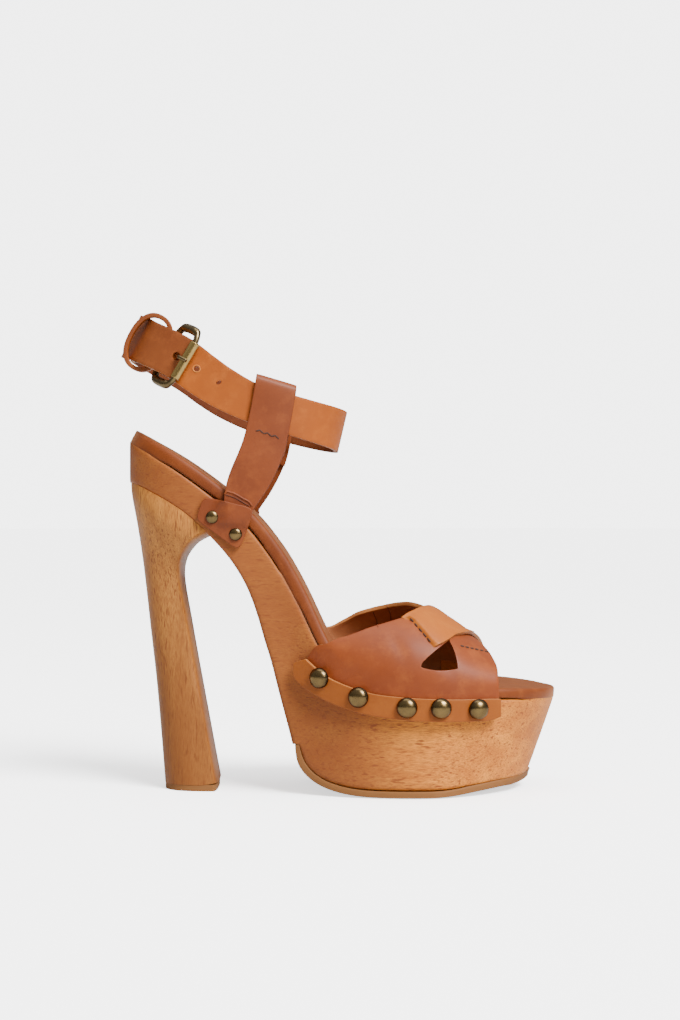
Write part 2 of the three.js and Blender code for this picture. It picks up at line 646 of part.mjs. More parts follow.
// Directions at a place on the strap: forward along it, outward from it and upward across it, which
// leans with the loop
function strapAxes(turn) {
  const step = 0.004
  const run = strapMiddle(turn - step).sub(strapMiddle(turn + step)).normalize()
  const level = new THREE.Vector3(strapFall(strapMiddle(turn).x), medialDrop / (2 * loopHalfWidth), 1)
  const out = new THREE.Vector3().crossVectors(run, level).normalize()
  return { run, out, up: new THREE.Vector3().crossVectors(out, run).normalize() }
}

// Place on the strap by its turn, a share of its half width and a distance outward
function strapPoint(turn, across, out) {
  const axes = strapAxes(turn)
  const middle = strapMiddle(turn)
  return middle.addScaledVector(axes.up, across * halfWidthAt(middle.x)).addScaledVector(axes.out, out)
}

// Closed band with a four-cornered section, from a function of place round it and corner
function hoop(count, cornersAt) {
  const rings = Array.from({ length: count }, (none, k) => cornersAt(k / count))
  const size = rings[0].length
  const faces = []
  for (let k = 0; k < count; k += 1) {
    const next = ((k + 1) % count) * size
    for (let i = 0; i < size; i += 1) {
      const j = (i + 1) % size
      faces.push([k * size + i, k * size + j, next + j], [k * size + i, next + j, next + i])
    }
  }
  return closed(rings.flat(), faces)
}

const halfStrap = strapThickness / 2
const strapWide = curveOf(strapTable, 'along', 'wide')
const halfWidthAt = (x) => (strapWidth / 2) * strapWide(shareAt(x))
const strapRing = hoop(60, (turn) => [
  strapPoint(turn, -1, -halfStrap), strapPoint(turn, 1, -halfStrap),
  strapPoint(turn, 1, halfStrap), strapPoint(turn, -1, halfStrap),
])
const endLow = curveOf(strapEndTable, 'turn', 'low')
const endHigh = curveOf(strapEndTable, 'turn', 'high')
const endStart = strapEndTable[0].turn
const endStop = strapEndTable[strapEndTable.length - 1].turn
const strapEnd = sheet(20, 1, (u, v, layer) => {
  const turn = mix(endStart, endStop, u)
  const across = mix(endLow(turn), endHigh(turn), v)
  const wedge = mix(0.15, 1, smooth(turn - endStart, 0, strapEndWedge))
  const lift = clearance + tipFlare * smooth(turn, tipRise.from, tipRise.to)
  return strapPoint(turn, across, halfStrap + lift + layer * wedge * strapThickness)
})

// The buckle's own directions: along the strap to the roller, across it and outward
const buckleAxes = strapAxes(buckleTurn)
const buckleAt = (along, across, out) => (
  strapMiddle(buckleTurn).addScaledVector(buckleAxes.run, along)
    .addScaledVector(buckleAxes.up, across).addScaledVector(buckleAxes.out, out)
)
const rollerOut = halfStrap + clearance + rollerRadius
const rearOut = -halfStrap - 4 * clearance - rearBar
const slotFront = buckleLength / 2 - slotAhead
const slotRear = slotFront - slotLength
const slotHalf = prongRadius + slotPlay
const prongSlot = loft([-9, 9].map((out) => [
  buckleAt(slotRear, -slotHalf, out), buckleAt(slotFront, -slotHalf, out),
  buckleAt(slotFront, slotHalf, out), buckleAt(slotRear, slotHalf, out),
]))
const slotted = (geometry) => fromManifold(toManifold(geometry).subtract(toManifold(prongSlot)))
addPiece('ankle_strap', slotted(strapRing), leather)
addPiece('strap_end', slotted(strapEnd), leather)

// Round section of a rod, square to its run
function rodRing(centre, run, reference, radius, count) {
  const first = new THREE.Vector3().crossVectors(run, reference).normalize()
  const second = new THREE.Vector3().crossVectors(run, first).normalize()
  return Array.from({ length: count }, (none, i) => {
    const angle = (i / count) * 2 * Math.PI
    return centre.clone().addScaledVector(first, radius * Math.cos(angle))
      .addScaledVector(second, radius * Math.sin(angle))
  })
}

// Buckle frame: a rounded loop that passes outside the strap at the roller and behind it at the rear
const buckleHalf = halfWidthAt(strapMiddle(buckleTurn).x)
const frameHalfHeight = buckleHalf + bucklePlay + buckleRod
const framePath = (turn) => {
  const angle = turn * 2 * Math.PI
  const square = 2 / buckleCorner
  const reach = Math.sign(Math.cos(angle)) * Math.abs(Math.cos(angle)) ** square
  const rise = Math.sign(Math.sin(angle)) * Math.abs(Math.sin(angle)) ** square
  return buckleAt((reach * buckleLength) / 2, rise * frameHalfHeight + buckleRise, mix(rearOut, rollerOut, (1 + reach) / 2))
}
const frameRod = (turn) => {
  const reach = Math.cos(turn * 2 * Math.PI)
  const bar = reach > 0 ? rollerBar : rearBar
  return mix(buckleRod, bar, smooth(Math.abs(reach), 0.35, 0.6))
}
addPiece('buckle_frame', hoop(44, (turn) => {
  const run = framePath(turn + 0.003).sub(framePath(turn - 0.003)).normalize()
  return rodRing(framePath(turn), run, buckleAxes.out, frameRod(turn), 8)
}), brass)

// Roller: a tube on the frame's front bar
const rollerHalf = buckleHalf - rollerShort
const rollerAt = (across, radius) => (
  rodRing(buckleAt(buckleLength / 2, across, rollerOut), buckleAxes.up, buckleAxes.out, radius, 12)
)
const rollerBody = loft([rollerAt(-rollerHalf, rollerRadius), rollerAt(rollerHalf, rollerRadius)])
const rollerHole = loft([rollerAt(-rollerHalf - 1, rollerBore), rollerAt(rollerHalf + 1, rollerBore)])
addPiece('buckle_roller', fromManifold(toManifold(rollerBody).subtract(toManifold(rollerHole))), brass)

// Prong: from beside the rear bar through the strap's slot and over the roller
const prongStart = -buckleLength / 2 + rearBar + clearance + prongRadius
const prongTop = rollerOut + rollerRadius + clearance + prongRadius
const prongPath = new THREE.CatmullRomCurve3([
  buckleAt(prongStart, 0, rearOut), buckleAt(slotRear - 1, 0, rearOut), buckleAt(slotRear + 1.2, 0, rearOut + 0.9),
  buckleAt(mix(slotRear, slotFront, 0.5), 0, strapThickness / 2), buckleAt(slotFront - 1.2, 0, 2 * strapThickness),
  buckleAt(buckleLength / 2 - prongTip, 0, prongTop - 0.6), buckleAt(buckleLength / 2, 0, prongTop),
  buckleAt(buckleLength / 2 + prongTip, 0, prongTop - 0.2),
])
addPiece('buckle_prong', loft(Array.from({ length: 16 }, (none, k) => (
  rodRing(prongPath.getPoint(k / 15), prongPath.getTangent(k / 15), buckleAxes.up, prongRadius, 8)
))), brass)

// Keeper loop round the strap and its buckled end
const keeperRing = (grow, y) => (round) => {
  const angle = round * 2 * Math.PI
  const across = (keeper.half - grow) * Math.sign(Math.cos(angle)) * Math.abs(Math.cos(angle)) ** keeperCorner
  const rise = (keeper.halfHeight - grow) * Math.sign(Math.sin(angle)) * Math.abs(Math.sin(angle)) ** keeperCorner
  const [lean, level] = [Math.sin(keeper.lean), Math.cos(keeper.lean)]
  return new THREE.Vector3(
    xAt(keeper.along) + across * level + rise * lean, -keeper.out + y, zAt(keeper.up) - across * lean + rise * level,
  )
}
addPiece('keeper_loop', hoop(28, (round) => [
  keeperRing(0, -keeper.width / 2)(round), keeperRing(0, keeper.width / 2)(round),
  keeperRing(keeperThickness, keeper.width / 2)(round), keeperRing(keeperThickness, -keeper.width / 2)(round),
]), leather)

// Half width of the ankle strap's loop at a place in side view, square below which its middle runs
function loopHalf(side, x, z) {
  const fall = strapFall(x)
  const foot = x - ((z - strapZ(side, x)) * fall) / (1 + fall * fall)
  const middle = xAt((loopBack + loopFront) / 2)
  const reach = clamp(Math.abs(foot - middle) / (xAt(loopFront) - middle), 0, 0.999)
  const leaned = (side.sign * medialDrop * (z - strapZ(side, x))) / (2 * loopHalfWidth)
  return leaned + loopHalfWidth * (1 - reach ** loopRoundness) ** (1 / loopRoundness)
}

// Upright strap: outer leg from the patch, over the ankle strap and down behind it
const uprightX = curveOf(uprightTable, 'up', 'along')
const uprightHalf = curveOf(uprightTable, 'up', 'half')
const uprightFoot = zAt(uprightTable[0].up)
const legGap = strapThickness + 2 * curvedGap + foldPlay
const outerLeg = curvedGap + uprightThickness / 2
const strapZ = (side, x) => zAt(strapHeight(shareAt(x))) - (side.sign > 0 ? medialDrop : 0)
const middleAt = (z) => new THREE.Vector2(xAt(uprightX(z / seatHeight)), z)

// Place on the strap at a height of its middle line and a share of its half width; the strap's
// width turns from square to the middle line at the foot to the ankle strap's slope at the fold
function uprightAt(side, z, across) {
  const run = middleAt(z + 1).sub(middleAt(z - 1))
  const lean = Math.atan2(run.x, run.y)
  const slope = Math.atan(strapFall(middleAt(z).x))
  const turn = mix(lean, slope, smooth(z, zAt(uprightTurn.from), zAt(uprightTurn.to)))
  const half = across * uprightHalf(z / seatHeight)
  return middleAt(z).add(new THREE.Vector2(half * Math.cos(turn), -half * Math.sin(turn)))
}

// Height on the middle line that lies an offset above the ankle strap's middle
function uprightLevel(side, offset) {
  let z = zAt(1)
  for (let k = 0; k < 8; k += 1) z = strapZ(side, middleAt(z).x) + offset
  return z
}
const strapReach = halfWidthAt(middleAt(zAt(1.1)).x) + uprightPlay
const turnRadius = (legGap + uprightThickness) / 2
// Levels and distances outward along the strap, up its outer leg, over the fold and down behind
function uprightPathOf(side) {
  const [strapTop, strapFoot] = [uprightLevel(side, strapReach), uprightLevel(side, -strapReach)]
  const outer = [0, 0.12, 0.25, 0.4, 0.55, 0.7, 0.85].map((rise) => ({ level: mix(uprightFoot, strapTop, rise), out: 0 }))
  const fold = [0, 1, 2, 3, 4, 5, 6].map((step) => {
    const angle = (step / 6) * Math.PI
    return { level: strapTop + turnRadius * Math.sin(angle), out: -turnRadius * (1 - Math.cos(angle)) }
  })
  return [
    ...outer, ...fold,
    { level: mix(strapTop, strapFoot, 0.5), out: -2 * turnRadius }, { level: strapFoot, out: -2 * turnRadius },
    { level: strapFoot - 3, out: -uprightThickness - clearance },
    { level: strapFoot - 3 - uprightEnd, out: -uprightThickness - clearance },
  ]
}
// How far the insole's edge stands out past the wall, where the bed falls and narrows
function boardStep(side, x, z) {
  return Math.max(0, planHalf(side, x - 0.6 * insoleHeelThickness) - wallHalf(side, x, z))
}

function uprightPoint(side, path, across, row, layer) {
  const here = path[row]
  const next = path[Math.min(path.length - 1, row + 1)]
  const before = path[Math.max(0, row - 1)]
  const run = new THREE.Vector2(next.level - before.level, next.out - before.out).normalize()
  const shift = (layer - 0.5) * uprightThickness
  const at = uprightAt(side, here.level - run.y * shift, across)
  const bend = smooth(at.y, zAt(uprightBend.from), zAt(uprightBend.to))
  const foot = wallHalf(side, at.x, at.y) + boardStep(side, at.x, at.y) + outerLeg
  const y = mix(foot, loopHalf(side, at.x, at.y) + halfStrap + outerLeg, bend) + here.out + run.x * shift
  return new THREE.Vector3(at.x, side.sign * y, at.y)
}

// Patch on the side wall, raised where the upright strap's end lies under it
const patchXY = patchCorners.map((row) => new THREE.Vector2(xAt(row.along), zAt(row.up)))
function patchPoint(side, u, v, layer) {
  const [across, down] = [u * 2 - 1, v * 2 - 1]
  const most = Math.max(Math.abs(across), Math.abs(down))
  const round = (Math.abs(across) ** patchRoundness + Math.abs(down) ** patchRoundness) ** (1 / patchRoundness)
  const pull = most === 0 ? 1 : most / round
  const [s, t] = [(across * pull + 1) / 2, (down * pull + 1) / 2]
  const top = patchXY[0].clone().lerp(patchXY[1], s)
  const at = top.lerp(patchXY[3].clone().lerp(patchXY[2], s), t)
  const beside = Math.abs(at.x - middleAt(at.y).x) - uprightHalf(at.y / seatHeight)
  const below = uprightFoot - at.y
  const raised = (1 - smooth(beside, 0.6, tongueEdge)) * (1 - smooth(below, 0.6, tongueEdge))
  const inner = clearance + raised * (uprightThickness + 2 * curvedGap + boardStep(side, at.x, at.y))
  return onWall(side, at.x, at.y, inner + layer * patchThickness)
}

for (const side of sides) {
  const path = uprightPathOf(side)
  addPiece('upright_strap_' + side.name, sheet(3, path.length - 1, (u, v, layer) => (
    uprightPoint(side, path, 2 * u - 1, Math.round(v * (path.length - 1)), layer)
  )), { ...leather, color: 0x9c4f24 })
  addPiece('ankle_patch_' + side.name, sheet(14, 10, (u, v, layer) => patchPoint(side, u, v, layer)), leather)
  rivetTable.forEach((rivet, i) => {
    const [x, z] = [xAt(rivet.along), zAt(rivet.up)]
    const head = dome(rivetRadius, rivetHeight)
    const out = patchThickness + clearance + rivetSeat
    addPiece('rivet_' + side.name + '_' + (i + 1), seated(side, x, z, out, head), brass)
  })
}

export default part
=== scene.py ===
# Looks of the clog sandal: smooth wood, tanned leather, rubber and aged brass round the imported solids.
# The shape functions work in millimetres, in the frame of the solids; meshes are made in metres.
import math

import bmesh
import bpy
from mathutils import Matrix, Vector
from mathutils.bvhtree import BVHTree


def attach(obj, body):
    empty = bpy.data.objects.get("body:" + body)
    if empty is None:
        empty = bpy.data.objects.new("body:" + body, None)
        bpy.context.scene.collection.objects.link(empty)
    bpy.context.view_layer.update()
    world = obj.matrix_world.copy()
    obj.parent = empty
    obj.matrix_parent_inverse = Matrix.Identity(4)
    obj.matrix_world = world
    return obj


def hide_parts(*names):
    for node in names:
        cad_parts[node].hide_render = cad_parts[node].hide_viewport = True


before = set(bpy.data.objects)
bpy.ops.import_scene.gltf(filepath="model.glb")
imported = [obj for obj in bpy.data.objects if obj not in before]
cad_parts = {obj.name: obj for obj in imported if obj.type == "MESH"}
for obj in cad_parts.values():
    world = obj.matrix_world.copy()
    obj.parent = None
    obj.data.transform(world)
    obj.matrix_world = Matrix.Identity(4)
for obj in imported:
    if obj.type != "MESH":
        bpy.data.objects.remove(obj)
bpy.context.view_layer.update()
scene = bpy.context.scene

MM = 0.001

# The photograph's view: a level camera in front of the shoe's outer side
IMAGE_WIDTH, IMAGE_HEIGHT = 680, 1020
CAMERA_PLACE = Vector((-29.25, -850, 124.3))
MM_PER_PIXEL = 0.45
SENSOR = 36

# Sizes of the last and of the leathers, as in the solids
SHOE_LENGTH = 190.8
HEEL_BACK = -123.5
BALL_WIDTH = 82
SEAT_WIDTH = 56.4
SEAT_LENGTH = 37.5
SEAT_ROUNDNESS = 2.6
SEAT_REACH = 0.9996
SEAT_BLEND_END = 0.5
TOE_HEIGHT = 40.2
SEAT_HEIGHT = 154.6
WALL_DRAFT = 0.05
DRAFT_DEPTH = 40
TOE_LEAN = 0.31
TOE_LEAN_FROM = 45
CLEARANCE = 0.3
CURVED_GAP = 0.45
INSOLE_HEEL = 5.9
INSOLE_TOE = 3.9
VAMP_WALL = 1.8
STRAP_THICKNESS = 2
STRAP_WIDTH = 19.8

# Places along the shoe are shares of its length, and heights are shares of the seat's.
# The bed: along the shoe, then the share of the rise from toe to seat
BED_RISE = [
    (0, 1), (0.051, 0.953), (0.1, 0.907), (0.137, 0.866), (0.168, 0.829), (0.2, 0.789), (0.249, 0.722),
    (0.29, 0.66), (0.314, 0.607), (0.339, 0.553), (0.364, 0.483), (0.388, 0.41), (0.413, 0.322),
    (0.438, 0.233), (0.459, 0.172), (0.49, 0.117), (0.532, 0.082), (0.584, 0.056), (0.647, 0.037),
    (0.726, 0.026), (0.857, 0.02), (0.936, 0.012), (1, 0),
]
# Half width: along the shoe, then as a share of half the ball's width on the outer and inner side
PLAN = [
    (0.196, 0.688, 0.688), (0.249, 0.668, 0.649), (0.29, 0.659, 0.624), (0.328, 0.659, 0.61),
    (0.38, 0.673, 0.61), (0.425, 0.732, 0.649), (0.466, 0.815, 0.732), (0.521, 0.902, 0.854),
    (0.569, 0.956, 0.929), (0.616, 0.988, 0.98), (0.658, 1, 1.005), (0.7, 1, 1.015), (0.742, 0.971, 1),
    (0.794, 0.898, 0.961), (0.836, 0.82, 0.922), (0.873, 0.744, 0.868), (0.907, 0.641, 0.795),
    (0.936, 0.517, 0.707), (0.959, 0.385, 0.615), (0.979, 0.232, 0.505), (0.992, 0.061, 0.378),
    (1, -0.085, 0.244),
]
# The vamp's edges: turn from feather to crest, then along the shoe: rear outer, rear inner, front
VAMP_EDGES = [
    (0, 0.467, 0.456, 0.849), (0.21, 0.491, 0.481, 0.848), (0.29, 0.514, 0.492, 0.848),
    (0.36, 0.538, 0.505, 0.847), (0.43, 0.564, 0.52, 0.845), (0.515, 0.604, 0.539, 0.841),
    (0.607, 0.643, 0.57, 0.836), (0.7, 0.667, 0.605, 0.83), (0.82, 0.687, 0.643, 0.82),
    (1, 0.708, 0.708, 0.805),
]
# The vamp's crest, the band's lower edge and the outer cut-out's corners: along the shoe, height
CREST = [
    (0.4, 0.56), (0.47, 0.548), (0.558, 0.546), (0.65, 0.54), (0.708, 0.517), (0.752, 0.481), (0.799, 0.439),
    (0.83, 0.417), (0.88, 0.384),
]
BAND_LOW = [
    (0.395, 0.34), (0.405, 0.321), (0.421, 0.306), (0.448, 0.286), (0.511, 0.253), (0.583, 0.232),
    (0.68, 0.22), (0.76, 0.218), (0.83, 0.217), (0.849, 0.228),
]
CUTOUT = [
    (0.676, 0.373), (0.682, 0.386), (0.708, 0.413), (0.739, 0.438), (0.744, 0.435), (0.754, 0.405),
    (0.759, 0.371), (0.754, 0.362), (0.716, 0.359), (0.682, 0.366),
]
# How far each side's cut-out lies from the outer one
CUTOUT_SHIFT = {-1: (0, 0), 1: (-0.02, 0.05)}
FEATHER_SHARE = 0.72
MARGIN_REAR = 0.404
MARGIN_LIFT = 0.8
VAMP_SQUARENESS = 0.91
CROSSING_TURN = 0.45
CROSSING_CORNER = 0.743

# The ankle strap: along the shoe, then its height and its share of the full width
STRAP_COURSE = [
    (0, 1.312, 0.94), (0.06, 1.277, 0.97), (0.132, 1.229, 0.98), (0.177, 1.188, 0.96), (0.223, 1.15, 0.92),
    (0.291, 1.108, 0.86), (0.404, 1.066, 0.88), (0.503, 1.037, 0.93),
]
LOOP_BACK, LOOP_FRONT = 0.0265, 0.495
LOOP_HALF_WIDTH = 27
LOOP_ROUNDNESS = 2.3
MEDIAL_DROP = 2.6
# The buckled end's lower and upper edge: turn round the loop, share of the strap's half width
END_LOW = [(0.326, -1), (0.5, -1), (0.535, -0.8), (0.548, -0.3)]
END_HIGH = [(0.326, 1), (0.4, 1.02), (0.45, 1.13), (0.5, 1.18), (0.535, 1.05), (0.548, 0.6)]
TIP_FLARE = 2.8
BUCKLE_TURN = 0.3465
SLOT_AHEAD = 1.7


def mix(a, b, part):
    return a + (b - a) * part


def clamp(value, low, high):
    return min(high, max(low, value))


def smooth(value, low, high):
    reach = clamp((value - low) / (high - low), 0, 1)
    return reach * reach * (3 - 2 * reach)


def curve_of(rows):
    """Smooth curve without overshoot through the rows of a table."""
    last = len(rows) - 1
    slopes = [(rows[i + 1][1] - rows[i][1]) / (rows[i + 1][0] - rows[i][0]) for i in range(last)]
    tangents = [slopes[0]]
    for i in range(1, last):
        product = slopes[i - 1] * slopes[i]
        tangents.append(0 if product <= 0 else 2 * product / (slopes[i - 1] + slopes[i]))
    tangents.append(slopes[-1])

    def value_at(key):
        held = clamp(key, rows[0][0], rows[last][0])
        i = 0
        while i < last - 1 and held > rows[i + 1][0]:
            i += 1
        step = rows[i + 1][0] - rows[i][0]
        t = (held - rows[i][0]) / step
        rise = rows[i + 1][1] - rows[i][1]
        bend = (tangents[i] + tangents[i + 1]) * step - 2 * rise
        start = tangents[i] * step
        return rows[i][1] + t * (start + t * (3 * rise - 2 * start - tangents[i + 1] * step + t * bend))

    return value_at


def curves_of(rows):
    """One curve for each column after a table's first."""
    return [curve_of([(row[0], row[k]) for row in rows]) for k in range(1, len(rows[0]))]


bed_rise, crest_of, band_low = curve_of(BED_RISE), curve_of(CREST), curve_of(BAND_LOW)
plan_of = dict(zip((-1, 1), curves_of(PLAN)))
outer_throat, inner_throat, toe_opening = curves_of(VAMP_EDGES)
throat_of = {-1: outer_throat, 1: inner_throat}
strap_rise, strap_wide = curves_of(STRAP_COURSE)
end_low, end_high = curve_of(END_LOW), curve_of(END_HIGH)


def x_at(along):
    return HEEL_BACK + SHOE_LENGTH * along


def share_at(x):
    return (x - HEEL_BACK) / SHOE_LENGTH


def bed_height(x):
    return TOE_HEIGHT + (SEAT_HEIGHT - TOE_HEIGHT) * bed_rise(share_at(x))


def plan_half(side, x):
    """Half width of the last in plan, with a rounded seat."""
    seat_front = HEEL_BACK + SEAT_LENGTH
    if x < seat_front:
        reach = clamp((seat_front - x) / SEAT_LENGTH, 0, SEAT_REACH)
        return SEAT_WIDTH / 2 * (1 - reach ** SEAT_ROUNDNESS) ** (1 / SEAT_ROUNDNESS)
    along = share_at(x)
    first_along, first_half = PLAN[0][:2]
    blend = mix(SEAT_WIDTH / (BALL_WIDTH * first_half), 1, smooth(along, first_along, SEAT_BLEND_END))
    return BALL_WIDTH / 2 * plan_of[side](along) * blend


def wall_half(side, x, z):
    depth = clamp(bed_height(x) - z, 0, DRAFT_DEPTH)
    lean = TOE_LEAN * max(0, TOE_HEIGHT - z) * smooth(x, 0, TOE_LEAN_FROM)
    return plan_half(side, x + lean) - WALL_DRAFT * depth


def on_wall(side, x, z, out):
    """A point at a distance outside the side wall, measured square to it in plan."""
    step = 0.5
    turn = (wall_half(side, x + step, z) - wall_half(side, x - step, z)) / (2 * step)
    size = math.hypot(1, turn)
    return Vector((x - turn * out / size, side * (wall_half(side, x, z) + out / size), z))


def insole_top(x):
    slope = (bed_height(x + 1) - bed_height(x - 1)) / 2
    thickness = mix(INSOLE_HEEL, INSOLE_TOE, share_at(x))
    return bed_height(x) + (thickness + 2 * CLEARANCE) * math.hypot(1, slope)


def side_of(across):
    return -1 if across < 0 else 1


def turn_at(across):
    """How far round from the feather, 0, to the crest, 1, a place across the vamp lies."""
    return clamp(1 - abs(across) / FEATHER_SHARE, 0, 1)


def vamp_point(across, x, out):
    """Point of the vamp at a place across it, -1 at the lateral margin and 1 at the medial one."""
    side = side_of(across)
    feather = insole_top(x)
    span = abs(across)
    if span > FEATHER_SHARE:
        low = SEAT_HEIGHT * band_low(share_at(x)) + MARGIN_LIFT
        share = (span - FEATHER_SHARE) / (1 - FEATHER_SHARE)
        return on_wall(side, x, mix(feather, low, share), CURVED_GAP + out)
    angle = (1 - span / FEATHER_SHARE) * math.pi / 2
    base = on_wall(side, x, feather, CURVED_GAP + out)
    rise = SEAT_HEIGHT * crest_of(share_at(x)) - VAMP_WALL - feather + out
    inward = max(0, math.cos(angle)) ** VAMP_SQUARENESS
    return Vector((base.x, base.y * inward, feather + rise * math.sin(angle) ** VAMP_SQUARENESS))


def rear_edge(across):
    margin = clamp((abs(across) - FEATHER_SHARE) / (1 - FEATHER_SHARE), 0, 1)
    return x_at(mix(throat_of[side_of(across)](turn_at(across)), MARGIN_REAR, margin))


def front_edge(across):
    return x_at(toe_opening(turn_at(across)))


def strap_middle(turn):
    """Middle line of the ankle strap, once round the loop from the front along the lateral side."""
    angle = turn * 2 * math.pi
    power = 2 / LOOP_ROUNDNESS
    reach = math.copysign(abs(math.cos(angle)) ** power, math.cos(angle))
    sideways = math.copysign(abs(math.sin(angle)) ** power, math.sin(angle))
    along = mix(LOOP_BACK, LOOP_FRONT, (1 + reach) / 2)
    drop = MEDIAL_DROP * (1 - sideways) / 2
    return Vector((x_at(along), -LOOP_HALF_WIDTH * sideways, SEAT_HEIGHT * strap_rise(along) - drop))


def strap_axes(turn):
    """Directions at a place on the strap: outward from it and upward across it."""
    step = 0.004
    middle = strap_middle(turn)
    run = (strap_middle(turn - step) - strap_middle(turn + step)).normalized()
    behind, ahead = share_at(middle.x - 1), share_at(middle.x + 1)
    fall = SEAT_HEIGHT * (strap_rise(behind) - strap_rise(ahead)) / 2
    out = run.cross(Vector((fall, MEDIAL_DROP / (2 * LOOP_HALF_WIDTH), 1))).normalized()
    return run, out, out.cross(run).normalized()


def strap_point(turn, across, out):
    middle = strap_middle(turn)
    run, outward, upward = strap_axes(turn)
    half = STRAP_WIDTH / 2 * strap_wide(share_at(middle.x))
    return middle + upward * (across * half) + outward * out


# Camera, floor and light

def make_camera():
    camera = bpy.data.objects.new("camera", bpy.data.cameras.new("camera"))
    scene.collection.objects.link(camera)
    camera.location = CAMERA_PLACE * MM
    camera.rotation_euler = (math.radians(90), 0, 0)
    camera.data.sensor_width = SENSOR
    camera.data.lens = SENSOR * -CAMERA_PLACE.y / (IMAGE_HEIGHT * MM_PER_PIXEL)
    camera.data.clip_start = 0.01
    camera.data.clip_end = 100
    scene.camera = camera


def view_ray(px, py):
    """Start and direction, in metres, of the camera's ray through a pixel of the photograph."""
    side = (px - IMAGE_WIDTH / 2) * MM_PER_PIXEL
    rise = (IMAGE_HEIGHT / 2 - py) * MM_PER_PIXEL
    return CAMERA_PLACE * MM, Vector((side, -CAMERA_PLACE.y, rise)).normalized()


FLOOR_RADIUS = 12
FLOOR_SIDES = 96
SEEN_PALE = 4.8
FLOOR_BOUNCE, FLOOR_SEEN = 0.6, 1.6
FLOOR_GLOW = 1.32
KEY_SUN = {"toward": (0.55, -0.62, 1.0), "power": 6.4, "angle": 30}
# Brightness of the studio by height, from straight down to straight up
STUDIO_TONES = [(0.0, 0.16), (0.46, 0.1), (0.54, 0.16), (0.78, 0.42), (1.0, 0.7)]
# Lamps: name, place in millimetres, width and height in metres, power
LAMPS = [("window", (650, -900, 700), (0.5, 0.7), 5), ("top", (-50, -50, 1200), (0.9, 0.5), 5)]
LAMP_AIM = (-30, 0, 90)


def make_stage():
    bm = bmesh.new()
    bmesh.ops.create_circle(bm, cap_ends=True, radius=FLOOR_RADIUS, segments=FLOOR_SIDES)
    floor = add_mesh("floor", bm, [floor_material()])
    world = bpy.data.worlds.new("studio")
    scene.world = world
    world.use_nodes = True
    tree = world.node_tree
    plain = tree.nodes["Background"]
    plain.inputs["Color"].default_value = (1, 1, 1, 1)
    plain.inputs["Strength"].default_value = SEEN_PALE
    split = add_node(tree, "SeparateXYZ", {"Vector": add_node(tree, "TexCoord").outputs["Generated"]})
    height = add_node(tree, "MapRange", {"Value": split.outputs["Z"], "From Min": -1.0})
    studio = add_node(tree, "Background", {"Color": add_ramp(tree, height.outputs["Result"], STUDIO_TONES)})
    seen = add_node(tree, "LightPath").outputs["Is Camera Ray"]
    choice = add_node(tree, "MixShader", {0: seen, 1: studio.outputs[0], 2: plain.outputs[0]})
    tree.links.new(choice.outputs["Shader"], tree.nodes["World Output"].inputs["Surface"])
    sun = bpy.data.lights.new("key", "SUN")
    sun.energy = KEY_SUN["power"]
    sun.angle = math.radians(KEY_SUN["angle"])
    add_lamp(sun, Vector(KEY_SUN["toward"]))
    for name, place_mm, size, power in LAMPS:
        lamp = bpy.data.lights.new(name, "AREA")
        lamp.shape = "RECTANGLE"
        lamp.size, lamp.size_y = size
        lamp.energy = power
        add_lamp(lamp, Vector(place_mm) * MM)


def add_lamp(lamp, place):
    item = bpy.data.objects.new(lamp.name, lamp)
    scene.collection.objects.link(item)
    item.location = place
    aim = Vector(LAMP_AIM) * MM - place
    item.rotation_euler = aim.to_track_quat("-Z", "Y").to_euler()


# Mesh helpers

EDGE_STEPS = 2
EDGE_ANGLE = 50
SMOOTH_LEVELS = 2
# Corners nearer than this are one, in metres, and faces this flat to each other become one quad
MERGE_DISTANCE = 0.00002
FLAT_ANGLE, QUAD_SHAPE_ANGLE = 30, 80


def add_mesh(name, bm, materials=()):
    mesh = bpy.data.meshes.new(name)
    bm.to_mesh(mesh)
    bm.free()
    for material in materials:
        mesh.materials.append(material)
    item = bpy.data.objects.new(name, mesh)
    scene.collection.objects.link(item)
    return item


def finish_piece(item, nodes=(), smooth_angle=EDGE_ANGLE):
    """Applies what shapes the piece, shades it smooth and ties it to the body."""
    bake_modifiers(item)
    item.data.shade_smooth()
    item.data.set_sharp_from_angle(angle=math.radians(smooth_angle))
    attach(item, "root")
    if nodes:
        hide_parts(*nodes)
    return item


def bake_modifiers(item):
    if not item.modifiers:
        return
    bpy.context.view_layer.update()
    depsgraph = bpy.context.evaluated_depsgraph_get()
    mesh = bpy.data.meshes.new_from_object(item.evaluated_get(depsgraph), depsgraph=depsgraph)
    item.modifiers.clear()
    item.data = mesh


def solidify(item, thickness, rim=0, inside=0):
    """Gives a sheet its wall inward; rim and inside say which materials its edge and back take."""
    wall = item.modifiers.new("wall", "SOLIDIFY")
    wall.thickness = thickness * MM
    wall.offset = -1
    wall.use_even_offset = True
    wall.material_offset_rim = rim
    wall.material_offset = inside


def round_edges(item, width):
    edge = item.modifiers.new("edge", "BEVEL")
    edge.width = width * MM
    edge.segments = EDGE_STEPS
    edge.limit_method = "ANGLE"
    edge.angle_limit = math.radians(EDGE_ANGLE)


def subdivide(item):
    surface = item.modifiers.new("surface", "SUBSURF")
    surface.levels = surface.render_levels = SMOOTH_LEVELS


def cad_copy(node):
    """The solid's own mesh, merged, with its flat pairs of triangles joined to quads."""
    bm = bmesh.new()
    bm.from_mesh(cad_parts[node].data)
    bmesh.ops.remove_doubles(bm, verts=bm.verts, dist=MERGE_DISTANCE)
    bmesh.ops.join_triangles(bm, faces=bm.faces, angle_face_threshold=math.radians(FLAT_ANGLE),
                             angle_shape_threshold=math.radians(QUAD_SHAPE_ANGLE))
    for face in bm.faces:
        face.material_index = 0
        face.smooth = True
    return bm


